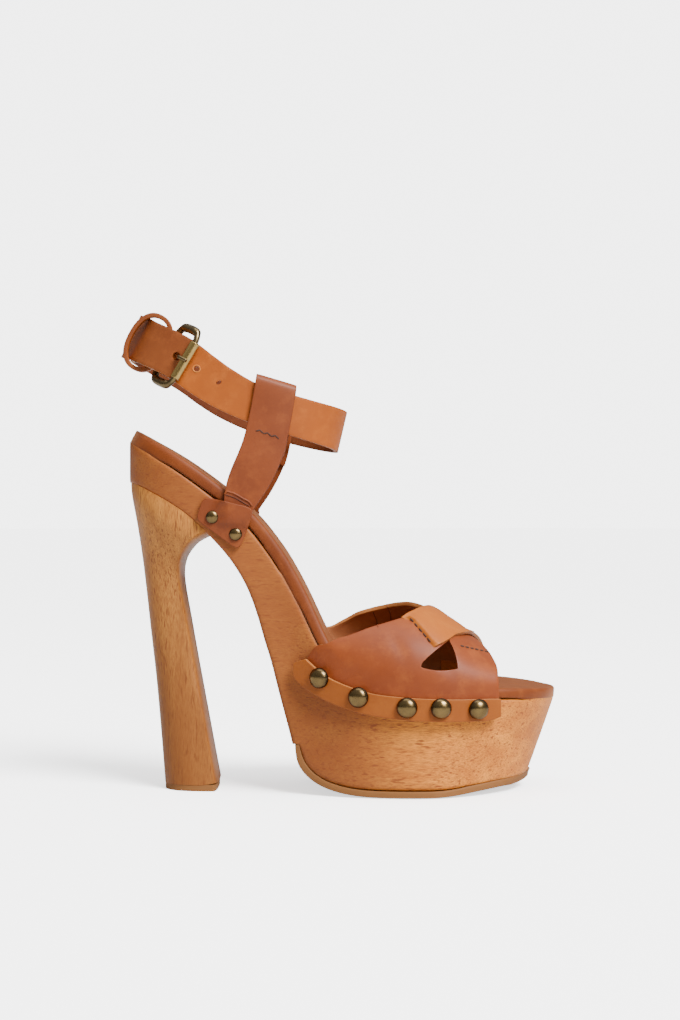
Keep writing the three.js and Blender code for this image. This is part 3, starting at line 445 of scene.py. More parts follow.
def bevel_sharp(bm, width, angle):
    """Rounds the edges where faces meet at more than an angle."""
    sharp = [e for e in bm.edges if len(e.link_faces) == 2 and e.calc_face_angle(0) > math.radians(angle)]
    bmesh.ops.bevel(bm, geom=sharp, offset=width * MM, offset_type="OFFSET", affect="EDGES",
                    segments=EDGE_STEPS, profile=0.5, material=-1, clamp_overlap=True)


def grid_piece(name, columns, rows, place, materials, closed=False):
    """A grid laid by a function of two shares; a closed one is joined to itself at its ends."""
    bm = bmesh.new()
    bmesh.ops.create_grid(bm, x_segments=columns, y_segments=rows, size=0.5)
    for vertex in bm.verts:
        vertex.co = place(vertex.co.x + 0.5, vertex.co.y + 0.5) * MM
    if closed:
        bmesh.ops.remove_doubles(bm, verts=bm.verts, dist=MERGE_DISTANCE / 2)
    bmesh.ops.recalc_face_normals(bm, faces=bm.faces)
    return add_mesh(name, bm, materials)


def face_outward(item, inside):
    """Turns the faces of an open sheet away from a place inside it, in millimetres."""
    mesh = item.data
    middle = mesh.polygons[len(mesh.polygons) // 2]
    if middle.normal.dot(middle.center - Vector(inside) * MM) < 0:
        mesh.flip_normals()


def surface_of(item):
    bpy.context.view_layer.update()
    return BVHTree.FromObject(item, bpy.context.evaluated_depsgraph_get())


def seen_at(surface, px, py):
    """Place and normal on a surface at a pixel of the photograph."""
    start, way = view_ray(px, py)
    return surface.ray_cast(start, way)[:2]


# Materials

def opaque(tone):
    return (*tone, 1)


def add_node(tree, kind, values=None, **settings):
    item = tree.nodes.new("ShaderNode" + kind)
    for name, value in settings.items():
        setattr(item, name, value)
    for socket, value in (values or {}).items():
        if hasattr(value, "is_output"):
            tree.links.new(value, item.inputs[socket])
        else:
            item.inputs[socket].default_value = value
    return item


def grey(tone):
    return (tone, tone, tone, 1)


def add_ramp(tree, source, stops):
    """Greys by a share, through stops of place and tone."""
    ramp = add_node(tree, "ValToRGB", {"Fac": source})
    for end in (0, -1):
        ramp.color_ramp.elements[end].position = stops[end][0]
        ramp.color_ramp.elements[end].color = grey(stops[end][1])
    for position, tone in stops[1:-1]:
        ramp.color_ramp.elements.new(position).color = grey(tone)
    return ramp.outputs["Color"]


def grey_ramp(tree, source, low, high, dark=0.0, light=1.0):
    """A share that goes from dark to light while the source goes from low to high."""
    return add_ramp(tree, source, [(low, dark), (high, light)])


def blend_colour(tree, share, first, second):
    return add_node(tree, "Mix", {0: share, 6: first, 7: second}, data_type="RGBA").outputs[2]


def arithmetic(tree, kind, first, second, third=0.0):
    return add_node(tree, "Math", {0: first, 1: second, 2: third}, operation=kind).outputs[0]


def times(tree, first, second):
    return arithmetic(tree, "MULTIPLY", first, second)


def noise(tree, place, scale, detail, roughness=0.5):
    """Soft random tone, its scale counted per metre."""
    values = {"Vector": place, "Scale": scale, "Detail": detail, "Roughness": roughness}
    return add_node(tree, "TexNoise", values).outputs["Fac"]


def new_group(name, shares):
    """A group from a place, three tones and shares to a colour, a roughness and a height."""
    group = bpy.data.node_groups.new(name, "ShaderNodeTree")
    given = [("Place", "Vector"), ("Tone", "Color"), ("Dark", "Color"), ("Light", "Color")]
    given += [(share, "Float") for share in shares]
    results = [("Colour", "Color"), ("Roughness", "Float"), ("Height", "Float")]
    for way, rows in (("INPUT", given), ("OUTPUT", results)):
        for label, kind in rows:
            group.interface.new_socket(name=label, in_out=way, socket_type="NodeSocket" + kind)
    sources = group.nodes.new("NodeGroupInput").outputs
    return group, group.nodes.new("NodeGroupOutput"), [sources[label] for label, kind in given]


def give_results(group, result, colour, rough, height):
    for label, value in (("Colour", colour), ("Roughness", rough), ("Height", height)):
        group.links.new(value, result.inputs[label])
    return group


# The hide's noises, counted per metre, where its marks start and end over them, and its roughness
CLOUD_SCALE, STAIN_SCALE, PORE_SCALE, GRAIN_SCALE, BEND_SCALE, LINE_SCALE = 42, 150, 1500, 900, 60, 210
FAINT_REACH, DEEP_REACH, PALE_REACH = (0.42, 0.7), (0.32, 0.62), (0.5, 0.78)
LINE_REACH, PORE_REACH = (0.0, 0.06), (0.08, 0.3)
LINE_BEND = 0.012
# Darkness of the pores, and the painted shade in the creases
PORE_DARKNESS, CREASE_PAINTED_SHADE = 0.22, 0.5
HIDE_ROUGHNESS, HIDE_ROUGHNESS_SPREAD = 0.42, 0.22


def make_leather_group():
    """Tanned hide: cloudy tone, pores, and fine creases with painted shade in them."""
    group, result, (place, tone, dark, light, clouding, creasing) = new_group(
        "tanned_hide", ["Clouding", "Crease"])
    clouds = noise(group, place, CLOUD_SCALE, 4, 0.6)
    stains = noise(group, place, STAIN_SCALE, 5, 0.65)
    grain = noise(group, place, GRAIN_SCALE, 3, 0.6)
    bends = add_node(group, "TexNoise", {"Vector": place, "Scale": BEND_SCALE}).outputs["Color"]
    moved = add_node(group, "VectorMath", {0: bends, 1: [LINE_BEND] * 3, 2: place}, operation="MULTIPLY_ADD")
    lines = add_node(group, "TexVoronoi", {"Vector": moved.outputs[0], "Scale": LINE_SCALE},
                     feature="DISTANCE_TO_EDGE").outputs["Distance"]
    pores = add_node(group, "TexVoronoi", {"Vector": place, "Scale": PORE_SCALE}).outputs["Distance"]
    pore = grey_ramp(group, pores, *PORE_REACH, 1.0, 0.0)
    crease = times(group, grey_ramp(group, lines, *LINE_REACH, 1.0, 0.0), creasing)
    crease = times(group, crease, grey_ramp(group, clouds, *FAINT_REACH))
    deep = times(group, grey_ramp(group, clouds, *DEEP_REACH, 1.0, 0.0), clouding)
    pale = times(group, grey_ramp(group, stains, *PALE_REACH), clouding)
    colour = blend_colour(group, deep, tone, dark)
    colour = blend_colour(group, pale, colour, light)
    colour = blend_colour(group, times(group, pore, PORE_DARKNESS), colour, dark)
    # Painted shade in the creases
    colour = blend_colour(group, times(group, crease, CREASE_PAINTED_SHADE), colour, dark)
    rough = arithmetic(group, "MULTIPLY_ADD", stains, HIDE_ROUGHNESS_SPREAD, HIDE_ROUGHNESS)
    height = times(group, arithmetic(group, "SUBTRACT", grain, pore), 0.5)
    height = arithmetic(group, "SUBTRACT", height, crease)
    return give_results(group, result, colour, rough, height)


# The wood's noises, counted per metre across its grain, where its marks start and end, and their darkness
FIGURE_SCALE, FIBRE_SCALE, WOOD_PORE_SCALE, WOOD_CLOUD_SCALE = 130, 2100, 1100, 30
FIGURE_REACH, WOOD_CLOUD_REACH = (0.4, 0.64), (0.35, 0.6)
STREAK_REACH, WOOD_PORE_REACH = (0.36, 0.6), (0.32, 0.42)
CLOUD_DARKNESS, STREAK_DARKNESS, WOOD_PORE_DARKNESS = 0.4, 0.65, 0.85
FIGURE_TWIST = 0.4
FIBRE_HEIGHT = 0.6
WOOD_ROUGHNESS, WOOD_ROUGHNESS_SPREAD = 0.36, 0.2


def make_wood_group():
    """Fine honey-brown wood: broad figure, short dark pores along the grain and darkenings by place."""
    group, result, (place, tone, dark, light, darkening) = new_group("oiled_wood", ["Darkening"])
    figure = noise(group, place, FIGURE_SCALE, 6, 0.65)
    figure.node.inputs["Distortion"].default_value = FIGURE_TWIST
    fibres = noise(group, place, FIBRE_SCALE, 5, 0.75)
    pores = noise(group, place, WOOD_PORE_SCALE, 2)
    clouds = noise(group, place, WOOD_CLOUD_SCALE, 3)
    deep = grey_ramp(group, clouds, *WOOD_CLOUD_REACH, CLOUD_DARKNESS, 0.0)
    streak = grey_ramp(group, fibres, *STREAK_REACH, STREAK_DARKNESS, 0.0)
    pore = grey_ramp(group, pores, *WOOD_PORE_REACH, WOOD_PORE_DARKNESS, 0.0)
    colour = blend_colour(group, grey_ramp(group, figure, *FIGURE_REACH), tone, light)
    for share in (deep, streak, pore, darkening):
        colour = blend_colour(group, share, colour, dark)
    rough = arithmetic(group, "MULTIPLY_ADD", fibres, WOOD_ROUGHNESS_SPREAD, WOOD_ROUGHNESS)
    height = arithmetic(group, "SUBTRACT", times(group, fibres, FIBRE_HEIGHT), pore)
    return give_results(group, result, colour, rough, height)


def new_material(name):
    material = bpy.data.materials.new(name)
    material.use_nodes = True
    return material, material.node_tree, material.node_tree.nodes["Principled BSDF"]


def object_place(tree, stretch=(1, 1, 1), turn=(0, 0, 0)):
    source = add_node(tree, "TexCoord").outputs["Object"]
    return add_node(tree, "Mapping", {"Vector": source, "Scale": stretch, "Rotation": turn}).outputs["Vector"]


def bump(tree, shader, height, strength, distance):
    item = add_node(tree, "Bump", {"Height": height, "Strength": strength, "Distance": distance * MM})
    tree.links.new(item.outputs["Normal"], shader.inputs["Normal"])


def use_group(tree, shader, group, place, tones, shares, strength, depth):
    """Ties a shared effect's colour, roughness and height to a surface; tones are main, dark and light."""
    values = {"Place": place, **shares}
    for label, tone in zip(("Tone", "Dark", "Light"), tones):
        values[label] = opaque(tone)
    effect = add_node(tree, "Group", values, node_tree=group)
    tree.links.new(effect.outputs["Colour"], shader.inputs["Base Color"])
    tree.links.new(effect.outputs["Roughness"], shader.inputs["Roughness"])
    bump(tree, shader, effect.outputs["Height"], strength, depth)


# Strength of each surface's relief and its depth in millimetres
LEATHER_RELIEF, LEATHER_DEPTH = 0.35, 0.12
WOOD_RELIEF, WOOD_DEPTH = 0.3, 0.1
FIBRE_RELIEF, FIBRE_DEPTH = 0.3, 0.1
BRASS_RELIEF, BRASS_DEPTH = 0.05, 0.03
SHEEN_TINT = (1, 0.5, 0.24, 1)


def leather_material(name, *tones, clouding=0.6, crease=0.4, gloss=0.1, sheen=0.0):
    material, tree, shader = new_material(name)
    shares = {"Clouding": clouding, "Crease": crease}
    use_group(tree, shader, leather_group, object_place(tree), tones, shares, LEATHER_RELIEF, LEATHER_DEPTH)
    shader.inputs["Coat Weight"].default_value = gloss
    shader.inputs["Coat Roughness"].default_value = 0.32
    shader.inputs["Sheen Weight"].default_value = sheen
    shader.inputs["Sheen Roughness"].default_value = 0.35
    shader.inputs["Sheen Tint"].default_value = SHEEN_TINT
    shader.inputs["Specular IOR Level"].default_value = 0.2
    return material


def wood_material(name, *tones, stretch, turn, darkenings):
    """Wood whose grain runs where the stretch is least.

    Darkenings darken it by place: an axis, two places in millimetres along it and the darkness at each.
    """
    material, tree, shader = new_material(name)
    split = add_node(tree, "SeparateXYZ", {"Vector": add_node(tree, "TexCoord").outputs["Object"]})
    darkening = 0.0
    for axis, first, last, first_share, last_share in darkenings:
        reach = {"Value": split.outputs[axis], "From Min": first * MM, "From Max": last * MM,
                 "To Min": first_share, "To Max": last_share}
        share = add_node(tree, "MapRange", reach, interpolation_type="SMOOTHSTEP").outputs["Result"]
        darkening = arithmetic(tree, "MAXIMUM", darkening, share)
    place = object_place(tree, stretch, turn)
    use_group(tree, shader, wood_group, place, tones, {"Darkening": darkening}, WOOD_RELIEF, WOOD_DEPTH)
    shader.inputs["Coat Weight"].default_value = 0.05
    shader.inputs["Coat Roughness"].default_value = 0.4
    shader.inputs["Specular IOR Level"].default_value = 0.2
    return material


# The brass's noises, and how far each of its shares reaches over them and, for the painted foot shade, over a
# head's height
PATINA_SCALE, SCRATCH_SCALE = 260, 1300
PATINA_REACH, ROUGH_REACH, FOOT_SHADE_REACH = (0.38, 0.66), (0.35, 0.7), (0.1, 0.95)
ROUGHNESS_SPREAD = 0.08


def brass_material(name, bright, dull, roughness, patina, foot_shaded=False):
    """Aged brass, dull in clouds; a foot-shaded one has painted shade toward the foot of each head."""
    material, tree, shader = new_material(name)
    place = object_place(tree)
    clouds = noise(tree, place, PATINA_SCALE, 5, 0.65)
    share = grey_ramp(tree, clouds, *PATINA_REACH, patina, 0.0)
    colour = blend_colour(tree, share, opaque(bright), opaque(dull))
    # Painted shade, darker toward each head's foot
    if foot_shaded:
        painted_shade_rise = add_node(tree, "Attribute", attribute_name="painted_shade_rise").outputs["Fac"]
        colour = blend_colour(tree, grey_ramp(tree, painted_shade_rise, *FOOT_SHADE_REACH, 1.0, 0.0), colour, opaque(dull))
    tree.links.new(colour, shader.inputs["Base Color"])
    rough = grey_ramp(tree, clouds, *ROUGH_REACH, roughness + ROUGHNESS_SPREAD, roughness)
    tree.links.new(rough, shader.inputs["Roughness"])
    shader.inputs["Metallic"].default_value = 1
    bump(tree, shader, noise(tree, place, SCRATCH_SCALE, 3), BRASS_RELIEF, BRASS_DEPTH)
    return material


def mottled_material(name, tones, roughness, cloud_scale, cloud_detail, grit_scale, grit_detail):
    """Rubber or thread: two close tones in clouds, with fine grit."""
    material, tree, shader = new_material(name)
    place = object_place(tree)
    clouds = noise(tree, place, cloud_scale, cloud_detail)
    tone = blend_colour(tree, clouds, *(opaque(tone) for tone in tones))
    tree.links.new(tone, shader.inputs["Base Color"])
    shader.inputs["Roughness"].default_value = roughness
    bump(tree, shader, noise(tree, place, grit_scale, grit_detail), FIBRE_RELIEF, FIBRE_DEPTH)
    return material


def floor_material():
    """Pale floor that the camera sees as light as the background."""
    material, tree, shader = new_material("pale_floor")
    shader.inputs["Roughness"].default_value = 0.9
    shader.inputs["Specular IOR Level"].default_value = 0.0
    shader.inputs["Emission Color"].default_value = (1, 1, 1, 1)
    seen = add_node(tree, "LightPath").outputs["Is Camera Ray"]
    tone = blend_colour(tree, seen, grey(FLOOR_BOUNCE), grey(FLOOR_SEEN))
    tree.links.new(tone, shader.inputs["Base Color"])
    tree.links.new(times(tree, seen, FLOOR_GLOW), shader.inputs["Emission Strength"])
    return material


leather_group = make_leather_group()
wood_group = make_wood_group()

# Tones of the leathers: main, dark and light
vamp_leather = leather_material(
    "vamp_leather", (0.23, 0.048, 0.01), (0.15, 0.028, 0.006), (0.32, 0.078, 0.015))
strip_leather = leather_material(
    "strip_leather", (0.39, 0.102, 0.009), (0.28, 0.062, 0.006), (0.48, 0.15, 0.018))
upright_leather = leather_material(
    "upright_leather", (0.2, 0.044, 0.01), (0.13, 0.026, 0.006), (0.28, 0.068, 0.014))
strap_leather = leather_material(
    "strap_leather", (0.35, 0.08, 0.007), (0.23, 0.048, 0.006), (0.45, 0.12, 0.014))
end_leather = leather_material(
    "end_leather", (0.21, 0.055, 0.012), (0.14, 0.03, 0.007), (0.3, 0.08, 0.016))
band_leather = leather_material(
    "band_leather", (0.29, 0.074, 0.007), (0.2, 0.044, 0.005), (0.4, 0.115, 0.013), clouding=0.4)
insole_leather = leather_material(
    "insole_leather", (0.17, 0.037, 0.006), (0.115, 0.023, 0.004), (0.27, 0.068, 0.012),
    crease=0.25, gloss=0.0, sheen=0.5)
cut_edge = leather_material(
    "cut_edge", (0.36, 0.13, 0.035), (0.22, 0.07, 0.02), (0.48, 0.2, 0.06), crease=0.0, gloss=0.0)
# Dark edge dye, also used for a cord of painted shade in the slot's groove
dark_edge_and_slot_shade = leather_material(
    "dark_edge_and_slot_shade", (0.1, 0.024, 0.009), (0.06, 0.014, 0.006), (0.16, 0.045, 0.014), crease=0.0, gloss=0.0)
# A punched hole's rim: a lighter cut edge with a painted highlight
highlit_rim_leather = leather_material(
    "highlit_rim_leather", (0.52, 0.17, 0.035), (0.4, 0.11, 0.02), (0.6, 0.22, 0.05), crease=0.0, gloss=0.0)
lining_leather = leather_material(
    "lining_leather", (0.34, 0.12, 0.045), (0.22, 0.07, 0.026), (0.42, 0.16, 0.06), crease=0.2, gloss=0.0)
strap_lining = leather_material(
    "strap_lining", (0.15, 0.038, 0.011), (0.1, 0.02, 0.007), (0.2, 0.055, 0.015), crease=0.2, gloss=0.0)

# Woods, rubber, brass and thread
# The platform is darker toward its heel end and higher up, and takes painted shade over the arch's rear.
platform_wood = wood_material(
    "platform_wood", (0.64, 0.2, 0.022), (0.22, 0.058, 0.015), (0.88, 0.32, 0.036),
    stretch=(0.15, 1, 1), turn=(0, 0.06, 0),
    darkenings=[("X", -105, -70, 0.5, 0.0), ("Z", 30, 85, 0.0, 0.6), ("X", 8, -30, 0.0, 0.75)])
# The heel is darker toward its bottom.
heel_wood = wood_material(
    "heel_wood", (0.48, 0.176, 0.031), (0.17, 0.05, 0.012), (0.66, 0.265, 0.048),
    stretch=(1.3, 1.3, 0.13), turn=(0, -0.09, 0), darkenings=[("Z", 115, 25, 0.0, 0.7)])
rubber = mottled_material(
    "rubber", ((0.18, 0.066, 0.011), (0.24, 0.09, 0.016)), 0.72, cloud_scale=70, cloud_detail=4,
    grit_scale=1100, grit_detail=4)
thread = mottled_material(
    "thread", ((0.028, 0.009, 0.004), (0.055, 0.017, 0.007)), 0.8, cloud_scale=2600, cloud_detail=3,
    grit_scale=2600, grit_detail=3)
aged_brass = brass_material(
    "aged_brass", (0.21, 0.15, 0.068), (0.06, 0.043, 0.026), roughness=0.24, patina=0.6)
# Studs take painted shade toward each head's foot
stud_brass = brass_material(
    "stud_brass", (0.25, 0.165, 0.062), (0.045, 0.033, 0.023), roughness=0.2, patina=0.4, foot_shaded=True)
roller_brass = brass_material(
    "roller_brass", (0.55, 0.38, 0.13), (0.2, 0.12, 0.04), roughness=0.2, patina=0.3)


# Wood, rubber and insole

# How much a face must look along a way to be drawn out, and where along the shoe that stops going forward
FACING_SHARE = 0.4
FORWARD_FROM, FORWARD_TO = -20, 20
EVEN_ANGLE = 75
# Parts of a face's normal, across the shoe or along it, that tell a piece's rim from its broad faces
BAND_RIM, UPRIGHT_RIM, KEEPER_RIM = 0.5, 0.75, 0.75


def draw_out(bm, way, distance):
    """Moves the corners of the faces that look along a direction that way, not forward at the toe."""
    facing = {vertex for face in bm.faces if face.normal.dot(way) > FACING_SHARE for vertex in face.verts}
    for vertex in facing:
        ahead = way.x * (1 - smooth(vertex.co.x / MM, FORWARD_FROM, FORWARD_TO))
        vertex.co += Vector((ahead, way.y, way.z)) * distance * MM


def even_out(bm, rounds):
    """Evens the faces' rises sideways, rims kept."""
    limit = math.radians(EVEN_ANGLE)
    sharp = {vertex for edge in bm.edges if edge.calc_face_angle(0) > limit for vertex in edge.verts}
    inner = [vertex for vertex in bm.verts if vertex not in sharp]
    for count in range(rounds):
        bmesh.ops.smooth_vert(bm, verts=inner, factor=0.5, use_axis_y=True)


def smooth_solid(name, node, materials, corner=None, rim=None, grow=0, reach=None, turn=55, calm=0):
    """A smooth copy of a solid: its faces drawn out, evened, grown and rounded, in millimetres.

    rim says by its normal which faces take the second material, reach is a way and a distance, and turn
    is the angle from which an edge is rounded.
    """
    bm = cad_copy(node)
    if reach:
        draw_out(bm, Vector(reach[0]).normalized(), reach[1])
    even_out(bm, calm)
    bm.normal_update()
    for vertex in bm.verts:
        vertex.co += vertex.normal * grow * MM
    if rim:
        bm.normal_update()
        for face in bm.faces:
            face.material_index = 1 if rim(face.normal) else 0
    if corner:
        bevel_sharp(bm, corner, turn)
    item = add_mesh(name, bm, materials)
    subdivide(item)
    return finish_piece(item, [node])


smooth_solid("platform", "sole", [platform_wood], corner=0.15, grow=0.1,
             reach=((0, 0, 1), 0.5))
smooth_solid("outsole_rubber", "outsole", [rubber], corner=0.1,
             reach=((0.7, 0, 0.7), 1.4))
smooth_solid("heel_block", "heel", [heel_wood], corner=0.1, grow=0.1,
             reach=((0.3, 0, 1), 1.0))
smooth_solid("heel_tip", "heel_top_piece", [rubber], corner=0.15, reach=((0, 0, 1), 0.6))
smooth_solid("footbed", "insole", [insole_leather], corner=0.4, grow=0.1,
             reach=((0, 0, -1), 0.35))

# Straps and patches copied from their solids
for side in ("lateral", "medial"):
    outward = (0, -1 if side == "lateral" else 1, 0)
    smooth_solid("studded_band_" + side, "stud_band_" + side, [band_leather, cut_edge],
                 corner=0.3, rim=lambda normal: abs(normal.y) < BAND_RIM, turn=28)
    smooth_solid("heel_patch_" + side, "ankle_patch_" + side, [upright_leather],
                 corner=0.3, reach=(outward, 0.5), calm=6)
    smooth_solid("upright_" + side, "upright_strap_" + side, [upright_leather, dark_edge_and_slot_shade],
                 corner=0.35, rim=lambda normal: abs(normal.x) > UPRIGHT_RIM)
smooth_solid("oval_keeper", "keeper_loop", [strap_leather, end_leather],
             corner=0.4, rim=lambda normal: abs(normal.y) > KEEPER_RIM, grow=0.4)


# Ankle strap with its buckled end

LEATHER_ROUNDING = 0.35
STRAP_COLUMNS, STRAP_ROWS = 260, 14
END_COLUMNS, END_ROWS = 70, 14
# A place inside the ankle's loop, for telling the outside
INSIDE_LOOP = (-70, 0, 180)
# Punched holes: pixel of the photograph, how flat and how turned; radius and length of the punch
STRAP_HOLES = [((196.7, 368.8), 0.9, 0), ((218.8, 382.5), 0.6, 0.4)]
HOLE_RADIUS, PUNCH_LENGTH = 1.3, 6
SLOT_RADIUS, SLOT_PUNCH_LENGTH = 1.9, 12
PUNCH_SIDES = 24
# Turns round the loop between which the tip lifts off the strap
FLARE_FROM, FLARE_TO = 0.45, 0.51


def drill(item, cutters):
    """Cuts the cutters' shapes out of a piece."""
    for cutter in cutters:
        cut = item.modifiers.new("cut", "BOOLEAN")
        cut.operation = "DIFFERENCE"
        cut.solver = "EXACT"
        cut.object = cutter
    bake_modifiers(item)
    for cutter in cutters:
        bpy.data.objects.remove(cutter)


def rod_cutter(place, way, radius, length, flatten=1.0, lean=0.0):
    """Round or oval punch through a strap, along a direction."""
    bm = bmesh.new()
    bmesh.ops.create_cone(bm, cap_ends=True, segments=PUNCH_SIDES, radius1=radius * MM, radius2=radius * MM,
                          depth=length * MM)
    turn = way.to_track_quat("Z", "Y").to_matrix().to_4x4()
    squeeze = Matrix.Rotation(lean, 4, "Z") @ Matrix.Diagonal((1, flatten, 1, 1))
    bmesh.ops.transform(bm, matrix=Matrix.Translation(place) @ turn @ squeeze, verts=bm.verts)
    return add_mesh("punch", bm)


def make_ankle_strap():
    strap = grid_piece("ankle_band", STRAP_COLUMNS, STRAP_ROWS,
                       lambda u, v: strap_point(u, 2 * v - 1, STRAP_THICKNESS / 2),
                       [strap_leather, cut_edge, strap_lining], closed=True)
    face_outward(strap, INSIDE_LOOP)
    solidify(strap, STRAP_THICKNESS, rim=1, inside=2)
    surface = surface_of(strap)
    drill(strap, [rod_cutter(*seen_at(surface, *pixel), HOLE_RADIUS, PUNCH_LENGTH, flatten, lean)
                  for pixel, flatten, lean in STRAP_HOLES])
    round_edges(strap, LEATHER_ROUNDING)
    return finish_piece(strap, ["ankle_strap"])


def make_strap_end():
    first, last = END_LOW[0][0], END_LOW[-1][0]

    def place(u, v):
        turn = mix(first, last, u)
        lift = CLEARANCE + TIP_FLARE * smooth(turn, FLARE_FROM, FLARE_TO)
        across = mix(end_low(turn), end_high(turn), v)
        return strap_point(turn, across, STRAP_THICKNESS / 2 + lift + STRAP_THICKNESS)

    end = grid_piece("buckled_end", END_COLUMNS, END_ROWS, place, [end_leather, cut_edge])
    face_outward(end, INSIDE_LOOP)
    solidify(end, STRAP_THICKNESS, rim=1)
    run, out, up = strap_axes(BUCKLE_TURN)
    hole = strap_point(BUCKLE_TURN, 0, STRAP_THICKNESS) + run * SLOT_AHEAD
    drill(end, [rod_cutter(hole * MM, out, SLOT_RADIUS, SLOT_PUNCH_LENGTH)])
    round_edges(end, LEATHER_ROUNDING)
    finish_piece(end, ["strap_end"])


ankle_band = make_ankle_strap()
make_strap_end()

# Buckle
smooth_solid("buckle_loop", "buckle_frame", [aged_brass], grow=0.4)
smooth_solid("buckle_barrel", "buckle_roller", [roller_brass], corner=0.25, grow=0.25)
smooth_solid("buckle_pin", "buckle_prong", [aged_brass], corner=0.2)


# Vamp: the main panel with its cut-outs, and the strip that crosses over it

CUTTER_START = 10
CUTOUT_STEPS = 4
PANEL_COLUMNS, PANEL_ROWS = 150, 44
VAMP_ROUNDING = 0.4
# A place under the vamp, for telling the outside
INSIDE_VAMP = (10, 0, 40)


def smooth_loop(points, steps):
    """Closed smooth line through points."""
    count = len(points)
    line = []
    for i in range(count):
        a, b, c, d = (Vector(points[(i + k) % count]) for k in (-1, 0, 1, 2))
        for k in range(steps):
            t = k / steps
            line.append(0.5 * (2 * b + (c - a) * t + (2 * a - 5 * b + 4 * c - d) * t * t
                               + (3 * b - a - 3 * c + d) * t * t * t))
    return line


def cutout_cutter(side):
    ahead, rise = CUTOUT_SHIFT[side]
    corners = [(x_at(along + ahead), SEAT_HEIGHT * (up + rise)) for along, up in CUTOUT]
    bm = bmesh.new()
    ring = [bm.verts.new(Vector((spot.x, side * CUTTER_START, spot.y)) * MM)
            for spot in smooth_loop(corners, CUTOUT_STEPS)]
    face = bm.faces.new(ring)
    grown = bmesh.ops.extrude_face_region(bm, geom=[face])
    moved = [v for v in grown["geom"] if isinstance(v, bmesh.types.BMVert)]
    bmesh.ops.translate(bm, vec=Vector((0, side * BALL_WIDTH, 0)) * MM, verts=moved)
    bmesh.ops.recalc_face_normals(bm, faces=bm.faces)
    return add_mesh("punch", bm)


# Creases: two ends on the vamp (share across, millimetres along), width and depth in millimetres
VAMP_CREASES = [
    ((-0.86, -28), (-0.62, -16), 1.8, 0.3), ((-0.8, -20), (-0.6, -9), 1.6, 0.22),
    ((-0.62, 0), (-0.42, -8), 2.2, 0.25), ((-0.7, 22), (-0.52, 12), 2.4, 0.25),
    ((0.84, -26), (0.6, -14), 1.8, 0.3), ((0.66, 2), (0.44, -6), 2.2, 0.25),
]
# Millimetres that the whole share across stands for, and the part of a half wave that a crease runs over
CREASE_SPAN = 60
CREASE_WAVE = (0.12, 0.88)


def crease_depth(across, x):
    """How far the creases sink the vamp's face at a place."""
    here = Vector((across * CREASE_SPAN, x))
    depth = 0
    for first, last, width, deep in VAMP_CREASES:
        a, b = (Vector((end[0] * CREASE_SPAN, end[1])) for end in (first, last))
        along = clamp((here - a).dot(b - a) / (b - a).length_squared, 0, 1)
        gap = (here - a.lerp(b, along)).length
        depth += deep * math.exp(-(gap / width) ** 2) * math.sin(math.pi * mix(*CREASE_WAVE, along))
    return depth


def make_vamp_panel():
    def place(u, v):
        across = mix(-1, 1, u)
        x = mix(rear_edge(across), front_edge(across), v)
        return vamp_point(across, x, VAMP_WALL - crease_depth(across, x))

    panel = grid_piece("vamp_panel", PANEL_COLUMNS, PANEL_ROWS, place,
                       [vamp_leather, cut_edge, lining_leather])
    face_outward(panel, INSIDE_VAMP)
    solidify(panel, VAMP_WALL, rim=1, inside=2)
    drill(panel, [cutout_cutter(-1), cutout_cutter(1)])
    round_edges(panel, VAMP_ROUNDING)
    return finish_piece(panel, ["vamp"])


STRIP_STOP = 0.93
STRIP_COLUMNS, STRIP_ROWS = 96, 36
# How far the strip stands over the vamp, how deep its thinned edge sinks, and the play of its underside
STRIP_LAYER, STRIP_SINK, STRIP_PLAY = 1.5, 0.75, 0.1
# The strip's end and front edge on the outer side, by share across the vamp and along the shoe
STRIP_END = [(-0.492, 0.7), (-0.455, 0.6878), (-0.409, 0.6748), (-0.36, 0.6596), (-0.307, 0.6463)]
STRIP_FRONT = [(-0.492, 0.7), (-0.45, 0.7186), (-0.376, 0.7395), (-0.302, 0.7537), (-0.214, 0.774),
               (-0.1, 0.792), (0, 0.803)]
REAR_SLANT = 0.3
# Its edge is thinned over a length, except from these shares across or of the turn on
SKIVE_LENGTH = 4
FULL_ACROSS, FULL_TURN = (-0.34, -0.26), (0.07, 0.2)
# The front edge curls up on the crest: height, where along the strip, where round the vamp
CURL_HEIGHT, CURL_ALONG, CURL_ROUND = 0.7, (0.8, 1), (0.5, 0.8)
strip_end, strip_front = curve_of(STRIP_END), curve_of(STRIP_FRONT)


def make_crossing_strip():
    crossing = FEATHER_SHARE * (1 - CROSSING_TURN)

    def place(u, v):
        across = mix(STRIP_END[0][0], STRIP_STOP, u)
        if across < 0:
            low = rear_edge(across)
            if across < STRIP_END[-1][0]:
                low = max(low, x_at(strip_end(across)))
            high = x_at(strip_front(across))
            full = max(smooth(v * (high - low), 0, SKIVE_LENGTH), smooth(across, *FULL_ACROSS))
        else:
            near = clamp(across / crossing, 0, 1)
            past = max(0, across - crossing)
            corner = x_at(mix(VAMP_EDGES[-1][1], CROSSING_CORNER, near))
            low = max(corner + REAR_SLANT * past, rear_edge(across))
            high = front_edge(across)
            full = smooth(turn_at(across), *FULL_TURN)
        lift = mix(-STRIP_SINK, STRIP_LAYER, full)
        curl = CURL_HEIGHT * smooth(v, *CURL_ALONG) * smooth(turn_at(across), *CURL_ROUND)
        return vamp_point(across, mix(low, high, v), VAMP_WALL + lift + curl)

    strip = grid_piece("crossing_strip", STRIP_COLUMNS, STRIP_ROWS, place, [strip_leather, cut_edge])
    face_outward(strip, INSIDE_VAMP)
    solidify(strip, STRIP_LAYER + STRIP_PLAY, rim=1)
    round_edges(strip, VAMP_ROUNDING)
    return finish_piece(strip)


